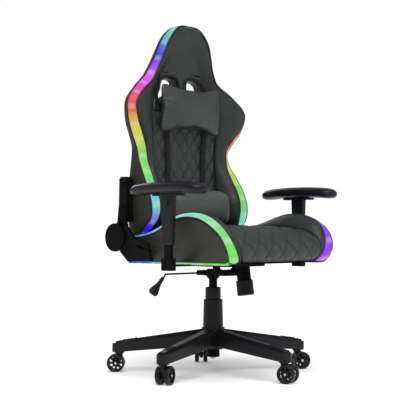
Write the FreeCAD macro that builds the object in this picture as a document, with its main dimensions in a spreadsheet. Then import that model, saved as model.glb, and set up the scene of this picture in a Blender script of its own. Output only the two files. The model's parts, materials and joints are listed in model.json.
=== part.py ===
"""Gaming chair: five-arm base on twin-wheel casters, gas lift, tilt mechanism, and a reclining bucket seat.

Millimetres. Z is up from the floor, the swivel axis is the Z axis, and the sitter faces -Y.
"""

import FreeCAD, Part
import Sketcher
import math
import os
from FreeCAD import Placement, Rotation, Vector

DIMENSIONS = [
    # base and casters
    ("stem_circle", 325), ("base_turn", -2.5), ("arm_count", 5),
    ("hub_top", 156), ("hub_bottom", 84), ("hub_radius", 39),
    ("arm_root_top", 153), ("arm_root_bottom", 97), ("arm_root_width", 54),
    ("arm_end_top", 104), ("arm_end_bottom", 67), ("arm_end_width", 38), ("arm_wall", 3.5),
    ("wheel_radius", 30), ("wheel_width", 15), ("wheel_gap", 16), ("wheel_trail", 12),
    ("stem_radius", 5.5), ("axle_radius", 4), ("hood_width", 12), ("wheel_spokes", 8),
    ("caster_heading_one", -74), ("caster_heading_two", -31), ("caster_heading_three", 44),
    ("caster_heading_four", 134), ("caster_heading_five", 22),
    # gas lift and its covers
    ("lift_tube_radius", 22), ("lift_tube_bore", 20), ("lift_tube_bottom", 58), ("lift_tube_top", 270),
    ("lift_bar_radius", 14), ("lift_bar_bottom", 130), ("lift_bar_top", 341), ("lift_bar_bore", 11.5),
    ("piston_rod_radius", 4), ("valve_radius", 3), ("valve_top", 346.8),
    ("cover_low_radius", 34), ("cover_low_neck", 32), ("cover_low_top", 250), ("cover_low_bore", 29.5),
    ("cover_high_radius", 26), ("cover_high_top", 291),
    # tilt mechanism
    ("mech_half_width", 42), ("mech_front", -95), ("mech_rear", 36), ("mech_bottom", 331), ("mech_top", 348),
    ("tilt_y", -60), ("tilt_z", 345), ("tilt_pin_radius", 6),
    ("plate_half_width", 100), ("plate_front", -165), ("plate_rear", 67), ("plate_top", 375),
    ("knob_y", -136), ("knob_lean", 8.4), ("knob_radius", 27.5), ("knob_neck", 23),
    ("lever_z", 340), ("lever_reach", 221), ("lever_bar_radius", 3),
    # seat
    ("seat_bottom", 375), ("seat_rear", 156), ("seat_front", -304), ("seat_crest", 536),
    ("seat_half_low", 241), ("seat_half_high", 287), ("seat_panel_half", 192), ("seat_panel_top", 490),
    ("frame_tube", 22), ("frame_half", 205), ("bolt_radius", 4),
    # recliner
    ("recline_y", 172), ("recline_z", 458), ("recline_cover_radius", 46.5),
    ("recline_arm_x", 265), ("recline_block_x", 236), ("recline_plate_x", 270.5), ("recline_cover_x", 275.5), ("recline_cap_x", 285),
    # armrests
    ("rest_x", 316), ("rest_y", -112), ("rest_foot_bottom", 356), ("rest_foot_top", 395),
    ("rest_sleeve_bottom", 436), ("rest_sleeve_top", 588), ("rest_post_top", 545),
    ("pad_length", 318), ("pad_width", 82), ("pad_top", 634), ("pad_bottom", 594), ("pad_y", -112),
    # back
    ("back_top", 1190), ("back_bottom", 486), ("back_panel_half", 150), ("back_panel_y", 140),
    ("back_rear", 188), ("strip_depth", 9),
    ("pillow_half", 132), ("pillow_low", 822), ("pillow_high", 974),
    ("lumbar_half", 142), ("lumbar_low", 494), ("lumbar_high", 618), ("lumbar_front", 26), ("strap_x", 92),
]

doc = FreeCAD.newDocument("gaming_chair")
sheet = doc.addObject("Spreadsheet::Sheet", "dims")
for row, (alias, amount) in enumerate(DIMENSIONS, start=1):
    sheet.set(f"A{row}", alias)
    sheet.set(f"B{row}", str(amount))
    sheet.setAlias(f"B{row}", alias)
doc.recompute()
scale_point = doc.addObject("Part::Vertex", "scale_point")
nodes = []


# ---------------------------------------------------------------- helpers

def size(formula):
    """The value of a formula of sheet cells, such as "dims.hub_top - 3"."""
    return float(scale_point.evalExpression(str(formula)))


def bind(item, **formulas):
    for key, formula in formulas.items():
        item.setExpression(key.replace("__", "."), str(formula))
    return item


def at(item, x=0, y=0, z=0, rotation=None):
    """Places an object at sheet formulas x, y, z."""
    if rotation is not None:
        item.Placement = Placement(Vector(0, 0, 0), rotation)
    return bind(item, Placement__Base__x=x, Placement__Base__y=y, Placement__Base__z=z)


def box(name, x, y, z, length, width, height):
    item = doc.addObject("Part::Box", name)
    bind(item, Length=length, Width=width, Height=height)
    return at(item, x, y, z)


def cylinder(name, radius, height, x=0, y=0, z=0, axis=(0, 0, 1)):
    item = doc.addObject("Part::Cylinder", name)
    bind(item, Radius=radius, Height=height)
    return at(item, x, y, z, Rotation(Vector(0, 0, 1), Vector(*axis)))


def cone(name, low, high, height, x=0, y=0, z=0):
    item = doc.addObject("Part::Cone", name)
    bind(item, Radius1=low, Radius2=high, Height=height)
    return at(item, x, y, z)


def fuse(name, items):
    item = doc.addObject("Part::MultiFuse", name)
    item.Shapes = items
    return item


def cut(name, base, tools):
    item = doc.addObject("Part::Cut", name)
    item.Base = base
    item.Tool = tools[0] if len(tools) == 1 else fuse(name + "_tools", tools)
    return item


def feature(name, shape):
    """A shape built from Part's own functions, its sizes read from the sheet."""
    item = doc.addObject("Part::Feature", name)
    item.Shape = shape
    return item


def node(item, label):
    """Marks a finished sub-part: its label names its file."""
    item.Label = label
    nodes.append(item)
    return item


def origin_plane(body, role):
    return next(f for f in body.Origin.OriginFeatures if f.Role == role)


def outline(body, name, role, points, offset="0"):
    """A closed sketch through corner points, each bound to sheet formulas, on a plane of its own body."""
    sketch = body.newObject("Sketcher::SketchObject", name)
    sketch.AttachmentSupport = (origin_plane(body, role), "")
    sketch.MapMode = "FlatFace"
    sketch.setExpression("AttachmentOffset.Base.z", str(offset))
    corners = [Vector(size(a), size(b), 0) for a, b in points]
    count = len(corners)
    lines = [Part.LineSegment(corners[i], corners[(i + 1) % count]) for i in range(count)]
    sketch.addGeometry(lines, False)
    for i in range(count):
        sketch.addConstraint(Sketcher.Constraint("Coincident", i, 2, (i + 1) % count, 1))
    for i, (a, b) in enumerate(points):
        across = sketch.addConstraint(Sketcher.Constraint("DistanceX", -1, 1, i, 1, corners[i].x))
        sketch.setExpression(f"Constraints[{across}]", str(a))
        along = sketch.addConstraint(Sketcher.Constraint("DistanceY", -1, 1, i, 1, corners[i].y))
        sketch.setExpression(f"Constraints[{along}]", str(b))
    return sketch


def turned(name, points):
    """A body turned about Z from (radius, height) corners."""
    body = doc.addObject("PartDesign::Body", name)
    sketch = outline(body, name + "_profile", "XZ_Plane", points)
    doc.recompute()
    turn = body.newObject("PartDesign::Revolution", name + "_turn")
    turn.Profile = sketch
    turn.ReferenceAxis = (sketch, ["V_Axis"])
    turn.Angle = 360
    return body


def slab(name, role, points, start, thickness):
    """A body padded from corner points, from start to start + thickness along its plane's normal."""
    body = doc.addObject("PartDesign::Body", name)
    sketch = outline(body, name + "_profile", role, points, start)
    doc.recompute()
    pad = body.newObject("PartDesign::Pad", name + "_pad")
    pad.Profile = sketch
    bind(pad, Length=thickness)
    return body


def curve(points):
    spline = Part.BSplineCurve()
    spline.interpolate([Vector(*p) for p in points])
    return spline.toShape()


def closed_face(edges):
    return Part.Face(Part.Wire(Part.__sortEdges__(edges)))


def mirrored(shape):
    return shape.mirror(Vector(0, 0, 0), Vector(1, 0, 0))


def both_sides(shape):
    return Part.makeCompound([shape, mirrored(shape)])


def bar_through(points, radius):
    """A round bar along straight runs, with a ball at each bend."""
    corners = [Vector(*p) for p in points]
    pieces = []
    for a, b in zip(corners, corners[1:]):
        pieces.append(Part.makeCylinder(radius, (b - a).Length, a, b - a))
    pieces += [Part.makeSphere(radius, c) for c in corners[1:-1]]
    return pieces[0].fuse(pieces[1:]).removeSplitter()


def block(low, high):
    return Part.makeBox(high[0] - low[0], high[1] - low[1], high[2] - low[2], Vector(*low))


# ---------------------------------------------------------------- base

def arm_section(reach, width, low, high, bevel):
    """A six-sided section of a base arm at a distance from the hub's axis."""
    half = width / 2
    shape = [
        (-half, low), (half, low), (half, high - bevel),
        (half - bevel, high), (bevel - half, high), (-half, high - bevel),
    ]
    return Part.makePolygon([Vector(reach, y, z) for y, z in shape + shape[:1]])


def base_arm():
    """One arm along +X: a bevelled beam, hollow below, with ribs and a stem socket."""
    reach = size("dims.stem_circle")
    root = (20, size("dims.arm_root_width"), size("dims.arm_root_bottom"), size("dims.arm_root_top"), 13)
    tip = (reach + 10, size("dims.arm_end_width"), size("dims.arm_end_bottom"), size("dims.arm_end_top"), 9)
    beam = Part.makeLoft([arm_section(*root), arm_section(*tip)], True, True)
    wall = size("dims.arm_wall")
    inner = [
        arm_section(r, w - 2 * wall, low - 10, high - wall - 1, bevel)
        for r, w, low, high, bevel in (root, tip)
    ]
    hollow = Part.makeLoft(inner, True, True)
    hollow = hollow.common(block((38, -60, 0), (reach - 22, 60, 200)))
    rib_height = size("dims.arm_root_top") - 6
    ribs = [block((r, -30, 60), (r + 2.5, 30, rib_height)) for r in range(80, 290, 40)]
    ribs.append(block((30, -1.5, 60), (reach, 1.5, rib_height)))
    arm = beam.cut(hollow).fuse([rib.common(beam) for rib in ribs])
    low = size("dims.arm_end_bottom")
    boss = Part.makeCylinder(17, 32, Vector(reach, 0, low - 3))
    nose = Part.makeCylinder(size("dims.arm_end_width") / 2, size("dims.arm_end_top") - low - 8,
                             Vector(reach + 6, 0, low))
    grips = []
    slope = (size("dims.arm_end_top") - size("dims.arm_root_top")) / (reach - 10)
    for r in (268, 281, 294, 307):
        crown = size("dims.arm_root_top") + slope * (r - 20)
        grips.append(Part.makeCylinder(4, 22, Vector(r, -11, crown - 1.5), Vector(0, 1, 0)))
    arm = arm.fuse([boss, nose] + grips)
    socket = Part.makeCylinder(size("dims.stem_radius + 0.06"), 34, Vector(reach, 0, low - 4))
    return arm.cut(socket)


def star_base():
    hub_top = size("dims.hub_top")
    low = size("dims.hub_bottom")
    hub = Part.makeCone(size("dims.hub_radius") - 4, size("dims.hub_radius"), 30, Vector(0, 0, low))
    hub = hub.fuse(Part.makeCylinder(size("dims.hub_radius"), hub_top - low - 30, Vector(0, 0, low + 30)))
    arm = base_arm()
    arms = []
    for i in range(int(size("dims.arm_count"))):
        turn = size("dims.base_turn") - 90 + 72 * i
        copy = arm.copy()
        copy.rotate(Vector(0, 0, 0), Vector(0, 0, 1), turn)
        arms.append(copy)
    bore = Part.makeCylinder(size("dims.lift_tube_radius"), 200, Vector(0, 0, 40))
    shape = hub.fuse(arms).cut(bore).removeSplitter()
    node(feature("star_base_shape", shape), "star_base")


def gas_lift():
    tube = turned("outer_tube", [
        ("dims.piston_rod_radius + 2", "dims.lift_tube_bottom"), ("dims.lift_tube_radius", "dims.lift_tube_bottom"),
        ("dims.lift_tube_radius", "dims.lift_tube_top"), ("dims.lift_tube_bore", "dims.lift_tube_top"),
        ("dims.lift_tube_bore", "dims.lift_tube_bottom + 5"), ("dims.piston_rod_radius + 2", "dims.lift_tube_bottom + 5"),
    ])
    node(tube, "lift_outer_tube")
    bush = turned("guide_bush", [
        ("dims.lift_bar_radius + 0.06", "dims.lift_tube_top - 45"), ("dims.lift_tube_bore", "dims.lift_tube_top - 45"),
        ("dims.lift_tube_bore", "dims.lift_tube_top"), ("dims.lift_tube_radius", "dims.lift_tube_top"),
        ("dims.lift_tube_radius", "dims.lift_tube_top + 4"), ("dims.lift_bar_radius + 0.06", "dims.lift_tube_top + 4"),
    ])
    node(bush, "lift_guide_bush")
    clip = turned("base_clip", [
        ("dims.piston_rod_radius + 0.06", "dims.lift_tube_bottom - 5"), ("10", "dims.lift_tube_bottom - 5"),
        ("13", "dims.lift_tube_bottom"), ("dims.piston_rod_radius + 0.06", "dims.lift_tube_bottom"),
    ])
    node(clip, "lift_base_clip")
    rod = turned("piston_rod", [
        ("0", "dims.lift_tube_bottom - 8"), ("dims.piston_rod_radius", "dims.lift_tube_bottom - 8"),
        ("dims.piston_rod_radius", "225"), ("dims.lift_bar_bore - 0.1", "225"),
        ("dims.lift_bar_bore - 0.1", "235"), ("0", "235"),
    ])
    node(rod, "lift_piston_rod")
    bar = turned("lift_bar", [
        ("dims.piston_rod_radius + 0.06", "dims.lift_bar_bottom"), ("dims.lift_bar_radius", "dims.lift_bar_bottom"),
        ("dims.lift_bar_radius", "dims.lift_bar_top - 1"), ("dims.lift_bar_radius - 1", "dims.lift_bar_top"),
        ("dims.valve_radius + 0.06", "dims.lift_bar_top"), ("dims.valve_radius + 0.06", "dims.lift_bar_top - 11"),
        ("dims.lift_bar_bore", "dims.lift_bar_top - 11"), ("dims.lift_bar_bore", "dims.lift_bar_bottom + 8"),
        ("dims.piston_rod_radius + 0.06", "dims.lift_bar_bottom + 8"),
    ])
    node(bar, "lift_cylinder")
    valve = turned("valve", [
        ("0", "dims.lift_bar_top - 9"), ("dims.valve_radius", "dims.lift_bar_top - 9"),
        ("dims.valve_radius", "dims.valve_top - 0.5"), ("dims.valve_radius - 0.5", "dims.valve_top"),
        ("0", "dims.valve_top"),
    ])
    node(valve, "lift_valve_pin")


def lift_covers():
    low = turned("low_cover", [
        ("dims.cover_low_bore", "dims.hub_top"), ("dims.cover_low_radius", "dims.hub_top"),
        ("dims.cover_low_radius", "dims.hub_top + 6"), ("dims.cover_low_neck", "dims.cover_low_top - 1.5"),
        ("dims.cover_low_neck - 1.5", "dims.cover_low_top"), ("dims.cover_high_radius + 0.4", "dims.cover_low_top"),
        ("dims.cover_high_radius + 0.4", "dims.cover_low_top - 3"), ("dims.cover_low_bore", "dims.cover_low_top - 5"),
    ])
    node(low, "cover_lower")
    high = turned("high_cover", [
        ("dims.cover_high_radius - 2.5", "dims.hub_top + 4"), ("dims.cover_low_bore - 0.4", "dims.hub_top + 4"),
        ("dims.cover_low_bore - 0.4", "dims.hub_top + 8"), ("dims.cover_high_radius", "dims.hub_top + 10"),
        ("dims.cover_high_radius", "dims.cover_high_top - 2"), ("dims.cover_high_radius - 2", "dims.cover_high_top"),
        ("dims.lift_bar_radius + 2", "dims.cover_high_top"), ("dims.lift_bar_radius + 2", "dims.cover_high_top - 3"),
        ("dims.cover_high_radius - 2.5", "dims.cover_high_top - 5"),
    ])
    node(high, "cover_upper")


# ---------------------------------------------------------------- casters

HEADINGS = ("one", "two", "three", "four", "five")


def caster(index):
    """Hood, pins and twin wheels of one caster, built at the origin and then put under its arm."""
    trail = "dims.wheel_trail"
    web = slab(f"hood_web_{index}", "YZ_Plane", [
        ("-11", "63"), ("9", "63"), (f"{trail} + 5", "57"), (f"{trail} + 11", "44"), (f"{trail} + 11", "22"),
        (f"{trail} + 4", "16"), (f"{trail} - 6", "16"), ("-4", "34"), ("-11", "46"),
    ], "-dims.hood_width / 2", "dims.hood_width")
    hood = cut(f"hood_{index}", fuse(f"hood_solid_{index}", [
        web, cylinder(f"hood_neck_{index}", "dims.wheel_gap / 2 - 0.4", 22, z=41),
        cylinder(f"hood_boss_{index}", 12, 2.2, z=60.8),
        cylinder(f"hood_hub_{index}", 9, "dims.hood_width + 3", "-dims.hood_width / 2 - 1.5", trail,
                 "dims.wheel_radius", (1, 0, 0)),
    ]), [
        cylinder(f"hood_stem_hole_{index}", "dims.stem_radius", 30, z=44),
        cylinder(f"hood_axle_hole_{index}", "dims.axle_radius", 40, -20, trail, "dims.wheel_radius", (1, 0, 0)),
    ])
    pins = doc.addObject("Part::Compound", f"pins_{index}")
    pins.Links = [
        fuse(f"stem_{index}", [
            cylinder(f"stem_pin_{index}", "dims.stem_radius", 46, z=46),
            cylinder(f"stem_ring_{index}", "dims.stem_radius + 3", 0.8, z=63),
        ]),
        cylinder(f"axle_{index}", "dims.axle_radius", "2 * dims.wheel_width + dims.wheel_gap + 1",
                 "-dims.wheel_width - dims.wheel_gap / 2 - 0.5", trail, "dims.wheel_radius", (1, 0, 0)),
    ]
    wheels = feature(f"wheels_{index}", twin_wheels())
    turn = size(f"dims.caster_heading_{HEADINGS[index - 1]}") - 90
    arm = math.radians(size("dims.base_turn") - 90 + 72 * (index - 1))
    reach = size("dims.stem_circle")
    place = Placement(Vector(reach * math.cos(arm), reach * math.sin(arm), 0), Rotation(Vector(0, 0, 1), turn))
    for item, label in ((hood, "hood"), (pins, "pins"), (wheels, "wheels")):
        item.Placement = place
        node(item, f"caster_{label}_{index}")


def twin_wheels():
    """Two spoked wheels on one axle along X, a trail behind the stem."""
    radius = size("dims.wheel_radius")
    width = size("dims.wheel_width")
    start = size("dims.wheel_gap") / 2
    centre = Vector(start, size("dims.wheel_trail"), radius)
    along = Vector(1, 0, 0)
    rim = Part.makeCylinder(radius, width, centre, along)
    rim = rim.makeFillet(2.5, [e for e in rim.Edges if abs(e.Length - 2 * math.pi * radius) < 1])
    rim = rim.cut(Part.makeCylinder(radius - 7, width + 2, centre - Vector(1, 0, 0), along))
    hub = Part.makeCylinder(8, width, centre, along)
    spokes = []
    count = int(size("dims.wheel_spokes"))
    for i in range(count):
        spoke = Part.makeBox(width - 5, 4, radius - 10, centre + Vector(2.5, -2, 5))
        spoke.rotate(centre, along, 360 * i / count)
        spokes.append(spoke)
    wheel = rim.fuse([hub] + spokes)
    wheel = wheel.cut(Part.makeCylinder(size("dims.axle_radius + 0.06"), width + 2, centre - Vector(1, 0, 0), along))
    wheel = wheel.removeSplitter()
    return both_sides(wheel)


# ---------------------------------------------------------------- mechanism

def mechanism():
    half = "dims.mech_half_width"
    tray = box("mech_tray", f"-{half}", "dims.mech_front", "dims.mech_bottom", f"2 * {half}",
               "dims.mech_rear - dims.mech_front", "dims.mech_top - dims.mech_bottom")
    ears = [
        box(f"mech_ear_{side}", x, "dims.tilt_y - 16", "dims.mech_bottom", 3, 32, 23)
        for side, x in (("a", f"-{half}"), ("b", f"{half} - 3"))
    ]
    inside = box("mech_inside", f"3 - {half}", "dims.mech_front + 3", "dims.mech_bottom + 3", f"2 * {half} - 6",
                 "dims.mech_rear - dims.mech_front - 6", 60)
    shell = fuse("mech_shell", [cut("mech_pan", fuse("mech_pan_solid", [tray] + ears), [inside])])
    socket = [
        cone("mech_cone", 15.5, 26, 13, z="dims.mech_bottom - 13"),
        cylinder("mech_socket", 21, 10, z="dims.mech_bottom"),
        box("mech_lip", -10, "dims.mech_front - 55", 343, 20, 58, 5),
    ]
    shell.Shapes = shell.Shapes + socket
    node(cut("mech_housing_solid", shell, [
        cylinder("mech_bore", "dims.lift_bar_radius", 60, z=300),
        cylinder("mech_pin_hole", "dims.tilt_pin_radius", 120, -60, "dims.tilt_y", "dims.tilt_z", (1, 0, 0)),
        box("mech_lever_slot", f"-{half} - 1", -5, "dims.mech_bottom + 3", 5, 10, 60),
    ]), "mech_housing")
    pin = fuse("tilt_pin_solid", [
        cylinder("tilt_pin_shank", "dims.tilt_pin_radius", 104, -52, "dims.tilt_y", "dims.tilt_z", (1, 0, 0)),
        cylinder("tilt_pin_head", 9, 4, -56, "dims.tilt_y", "dims.tilt_z", (1, 0, 0)),
        cylinder("tilt_pin_clip", 8, 2, 50, "dims.tilt_y", "dims.tilt_z", (1, 0, 0)),
    ])
    node(pin, "tilt_pin")


def top_plate():
    half = "dims.plate_half_width"
    corner = 24
    skin = slab("plate_skin", "XY_Plane", [
        (f"-{half}", f"dims.plate_front + {corner}"), (f"{corner} - {half}", "dims.plate_front"),
        (f"{half} - {corner}", "dims.plate_front"), (half, f"dims.plate_front + {corner}"),
        (half, f"dims.plate_rear - {corner}"), (f"{half} - {corner}", "dims.plate_rear"),
        (f"{corner} - {half}", "dims.plate_rear"), (f"-{half}", f"dims.plate_rear - {corner}"),
    ], "dims.plate_top - 12", 12)
    hollow = slab("plate_hollow", "XY_Plane", [
        (f"3 - {half}", f"dims.plate_front + {corner + 1}"), (f"{corner + 1} - {half}", "dims.plate_front + 3"),
        (f"{half} - {corner + 1}", "dims.plate_front + 3"), (f"{half} - 3", f"dims.plate_front + {corner + 1}"),
        (f"{half} - 3", f"dims.plate_rear - {corner + 1}"), (f"{half} - {corner + 1}", "dims.plate_rear - 3"),
        (f"{corner + 1} - {half}", "dims.plate_rear - 3"), (f"3 - {half}", f"dims.plate_rear - {corner + 1}"),
    ], "dims.plate_top - 13", 10)
    ears = [
        box(f"plate_ear_{side}", x, "dims.tilt_y - 16", 336, 3, 32, "dims.plate_top - 337")
        for side, x in (("a", -48), ("b", 45))
    ]
    holes = [
        cylinder(f"plate_hole_{i}", "dims.bolt_radius", 20, x, y, 362)
        for i, (x, y) in enumerate(seat_bolt_places())
    ]
    holes.append(cylinder("plate_pin_hole", "dims.tilt_pin_radius + 0.06", 120, -60, "dims.tilt_y", "dims.tilt_z",
                          (1, 0, 0)))
    pan = cut("plate_pan", skin, [hollow])
    node(cut("plate_solid", fuse("plate_with_ears", [pan, spring_collar()] + ears), holes), "mech_top_plate")


def along_knob_axis(shape):
    """Leans a shape built about the Z axis into the tension knob's axis."""
    shape.rotate(Vector(0, 0, 356), Vector(1, 0, 0), -size("dims.knob_lean"))
    shape.translate(Vector(0, size("dims.knob_y"), 0))
    return shape


def spring_collar():
    """The open-backed cup, welded under the top plate, that holds the tension spring."""
    neck = size("dims.knob_neck")
    collar = Part.makeCylinder(neck, 66, Vector(0, 0, 311)).cut(Part.makeCylinder(neck - 3, 90, Vector(0, 0, 300)))
    collar = along_knob_axis(collar)
    collar = collar.cut(block((-12, -134, 320), (12, -90, 352)))
    collar = collar.common(block((-60, -220, 250), (60, -60, size("dims.plate_top") - 3)))
    return feature("collar", collar)


def tension_group():
    neck = size("dims.knob_neck")
    radius = size("dims.knob_radius")
    grip = Part.makeCylinder(radius, 50, Vector(0, 0, 268))
    grip = grip.makeFillet(3, [e for e in grip.Edges if abs(e.Length - 2 * math.pi * radius) < 1])
    grooves = []
    for i in range(18):
        angle = math.radians(20 * i)
        place = Vector((radius + 1) * math.cos(angle), (radius + 1) * math.sin(angle), 266)
        grooves.append(Part.makeCylinder(1.8, 44, place))
    grip = grip.cut(grooves).cut(Part.makeCylinder(neck + 0.3, 60, Vector(0, 0, 300)))
    grip = grip.fuse(Part.makeCylinder(5, 28, Vector(0, 0, 290)))
    node(feature("knob", along_knob_axis(grip)), "tension_knob")
    path = Part.makeHelix(7, 35, 12)
    ring = Part.Wire(Part.makeCircle(1.8, Vector(12, 0, 0), Vector(0, 1, 0)))
    coil = Part.Wire(path).makePipeShell([ring], True, True)
    coil.translate(Vector(0, 0, 303.5))
    node(feature("spring", along_knob_axis(coil)), "tension_spring")


def lift_lever():
    reach = size("dims.lever_reach")
    height = size("dims.lever_z")
    end = (-reach - 20, 3, height - 26)
    bar = bar_through([
        (8, 0, height + 10), (-26, 0, height + 10), (-38, 0, height), (-reach, 0, height), end,
    ], size("dims.lever_bar_radius"))
    node(feature("lever_bar", bar), "lever_rod")
    sections = []
    direction = Vector(-0.62, 0.12, -0.77)
    for step, wide, thick in ((-4, 5.5, 5.5), (14, 7, 6.5), (42, 14, 8), (56, 16, 8), (63, 12, 6)):
        centre = Vector(-reach - 12, 2, height - 14) + direction * step
        ellipse = Part.Ellipse(Vector(0, 0, 0), wide, thick).toShape()
        ellipse.Placement = Placement(centre, Rotation(Vector(0, 0, 1), direction))
        sections.append(Part.Wire(ellipse))
    grip = Part.makeLoft(sections, True, False).cut(bar)
    node(feature("lever_handle", grip), "lever_grip")


# ---------------------------------------------------------------- seat

def seat_bolt_places():
    return [(x, y) for x in (-70, 70) for y in (-109, 46)]


def side_bolt_places():
    """Height and depth of the two bolts that hold each recliner plate to the seat frame."""
    return [(44, 389), (98, 389)]


def seat_frame_bars():
    half = size("dims.frame_half")
    tube = size("dims.frame_tube")
    low = size("dims.seat_bottom") + 5
    top = low + tube
    bars = [
        block((-half, -250, low), (half, -250 + tube, top)), block((-half, 98, low), (half, 98 + tube, top)),
        block((half - tube, -250, low), (half, 98 + tube, top)), block((-half, -250, low), (tube - half, 98 + tube, top)),
        block((-half, -120, low), (half, -120 + tube, top)), block((-half, 35, low), (half, 35 + tube, top)),
    ]
    return bars[0].fuse(bars[1:]).removeSplitter()


def seat_bolt_shapes():
    low = size("dims.plate_top") - 3
    radius = size("dims.bolt_radius")
    shapes = []
    for x, y in seat_bolt_places():
        shank = Part.makeCylinder(radius, 20, Vector(x, y, low))
        shapes.append(shank.fuse(Part.makeCylinder(7, 4, Vector(x, y, low - 4))))
    return shapes


def seat_side_curve():
    """The bolster's outline in the YZ plane, from the rear bottom round the front to the rear top."""
    low = size("dims.seat_bottom")
    front = size("dims.seat_front")
    rear = size("dims.seat_rear")
    crest = size("dims.seat_crest")
    points = [(front + 24, low), (front, 410), (front + 9, 448), (front + 40, 500), (front + 80, 526), (-165, crest),
              (-110, 533), (-50, 511), (20, 480), (90, 465), (rear, 461)]
    return rear, low, points


def extruded_x(points, low_x, high_x, straight):
    """A YZ outline through a smooth curve, closed by straight runs, between two X places."""
    edges = [curve([(low_x, y, z) for y, z in points])]
    corners = [points[-1]] + straight + [points[0]]
    for a, b in zip(corners, corners[1:]):
        edges.append(Part.LineSegment(Vector(low_x, *a), Vector(low_x, *b)).toShape())
    return closed_face(edges).extrude(Vector(high_x - low_x, 0, 0))


def seat_solids():
    rear, low, points = seat_side_curve()
    body = extruded_x(points, -300, 300, [(rear, low)])
    narrow = size("dims.seat_half_low")
    wide = size("dims.seat_half_high")
    panel = size("dims.seat_panel_half")
    top = size("dims.seat_panel_top")
    crest = size("dims.seat_crest")
    right = [(panel, top - 4), (panel + 38, crest - 12), (panel + 62, crest), (wide - 14, crest - 8), (wide, crest - 27),
             (narrow, low)]
    ring = [(0, top)] + right + [(-x, z) for x, z in reversed(right)]
    ring.append(ring[0])
    front_view = Part.Face(Part.makePolygon([Vector(x, -400, z) for x, z in ring])).extrude(Vector(0, 700, 0))
    body = body.common(front_view)
    plan = [(-300, -400), (300, -400), (300, -80), (262, 20), (258, 200), (-258, 200), (-262, 20), (-300, -80)]
    plan_face = Part.Face(Part.makePolygon([Vector(x, y, 300) for x, y in plan + plan[:1]]))
    body = body.common(plan_face.extrude(Vector(0, 0, 300)))
    inset = size("dims.strip_depth")
    inner_points = [(y + inset * ny, z - inset * nz) for (y, z), (ny, nz) in zip(points, (
        (1, -0.4), (1, 0), (1, 0.3), (0.75, 0.75), (0.4, 0.9), (0.1, 1), (-0.2, 1), (-0.4, 0.9), (-0.3, 1), (0, 1),
        (0, 1)))]
    core = extruded_x(inner_points, -310, 310, [(rear, low)])
    rim = body.cut(core)
    strip_zone = Part.Face(Part.makePolygon([
        Vector(x, -400, z) for x, z in
        ((187, low), (209, 425), (248, 522), (258, 560), (320, 560), (320, low), (187, low))
    ])).extrude(Vector(0, 460, 0))
    strip = rim.common(strip_zone)
    strip = max(strip.Solids, key=lambda s: s.Volume)
    return body, strip


def seat_group():
    body, strip = seat_solids()
    frame = seat_frame_bars()
    bolts = seat_bolt_shapes()
    spacers = side_spacers()
    cushion = body.cut([strip, mirrored(strip), frame] + bolts + spacers + [mirrored(s) for s in spacers])
    cushion = max(cushion.Solids, key=lambda s: s.Volume)
    node(feature("seat_foam", cushion), "seat_cushion")
    node(feature("seat_light", both_sides(strip)), "seat_led_strips")
    node(feature("seat_bars", frame.cut(bolts)), "seat_frame")
    node(feature("seat_screws", Part.makeCompound(bolts)), "seat_bolts")


def side_spacers():
    start = size("dims.frame_half")
    end = size("dims.recline_plate_x")
    return [Part.makeCylinder(8, end - start, Vector(start, y, z), Vector(1, 0, 0)) for y, z in side_bolt_places()]


# ---------------------------------------------------------------- recliner

def flat_yz(points, low_x, high_x):
    wire = Part.makePolygon([Vector(low_x, y, z) for y, z in points + points[:1]])
    return Part.Face(wire).extrude(Vector(high_x - low_x, 0, 0))


def disc(radius, low_x, high_x):
    return Part.makeCylinder(radius, high_x - low_x, Vector(low_x, size("dims.recline_y"), size("dims.recline_z")),
                             Vector(1, 0, 0))


def recliner_side(side):
    """Seat plate, back arm and cover of one recliner, for the +X side or its mirror image."""
    plate_x = size("dims.recline_plate_x")
    cover_x = size("dims.recline_cover_x")
    arm_x = size("dims.recline_arm_x")
    plate = flat_yz([(152, 416), (120, 384), (20, 382), (16, 400), (60, 430), (100, 470), (130, 490)], plate_x, cover_x)
    plate = plate.fuse([disc(38, plate_x, cover_x)] + side_spacers()).removeSplitter()
    plate = plate.cut(disc(7, plate_x - 1, cover_x + 1))
    inner = size("dims.recline_block_x")
    arm = flat_yz([(128, 470), (130, 500), (140, 522), (171, 522), (190, 500), (202, 470)], arm_x, plate_x - 1)
    arm = arm.fuse([
        disc(36, arm_x, plate_x - 1),
        flat_yz([(146, 508), (140, 514), (140, 652), (146, 658), (164, 658), (171, 650), (173, 570), (180, 514),
                 (174, 508)], inner, plate_x - 1),
        disc(6.9, arm_x, cover_x),
    ])
    arm = arm.cut(back_bolt_shapes()).removeSplitter()
    for label, shape in (("bracket", plate), ("arm", arm)):
        shape = shape if side == "l" else mirrored(shape)
        node(feature(f"recliner_{label}_{side}_shape", shape), f"recliner_{label}_{side}")


def recliner_caps():
    """The moulded covers over both seat plates, each with a round cap on the pivot."""
    low = size("dims.recline_cover_x")
    high = size("dims.recline_cap_x")
    cover = flat_yz([(150, 412), (120, 386), (112, 380), (14, 384), (8, 412), (14, 420), (60, 424), (84, 440),
                     (100, 478), (124, 500)], low, high)
    cover = cover.fuse([disc(44, low, high), disc(size("dims.recline_cover_radius"), high - 3, high + 5)])
    cover = cover.removeSplitter()
    node(feature("caps", both_sides(cover)), "recliner_caps")


def recline_lever():
    high = size("dims.recline_cap_x")
    hub = Part.makeCylinder(9, 8.6, Vector(-high - 9, 88, 450), Vector(1, 0, 0))
    lever = flat_yz([(84, 462), (96, 450), (88, 436), (74, 434), (40, 432), (8, 424), (2, 430), (3, 440), (36, 447),
                     (66, 452)], -high - 9, -high - 0.4)
    node(feature("recline_handle", lever.fuse(hub).removeSplitter()), "recline_lever")


# ---------------------------------------------------------------- armrests

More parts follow.
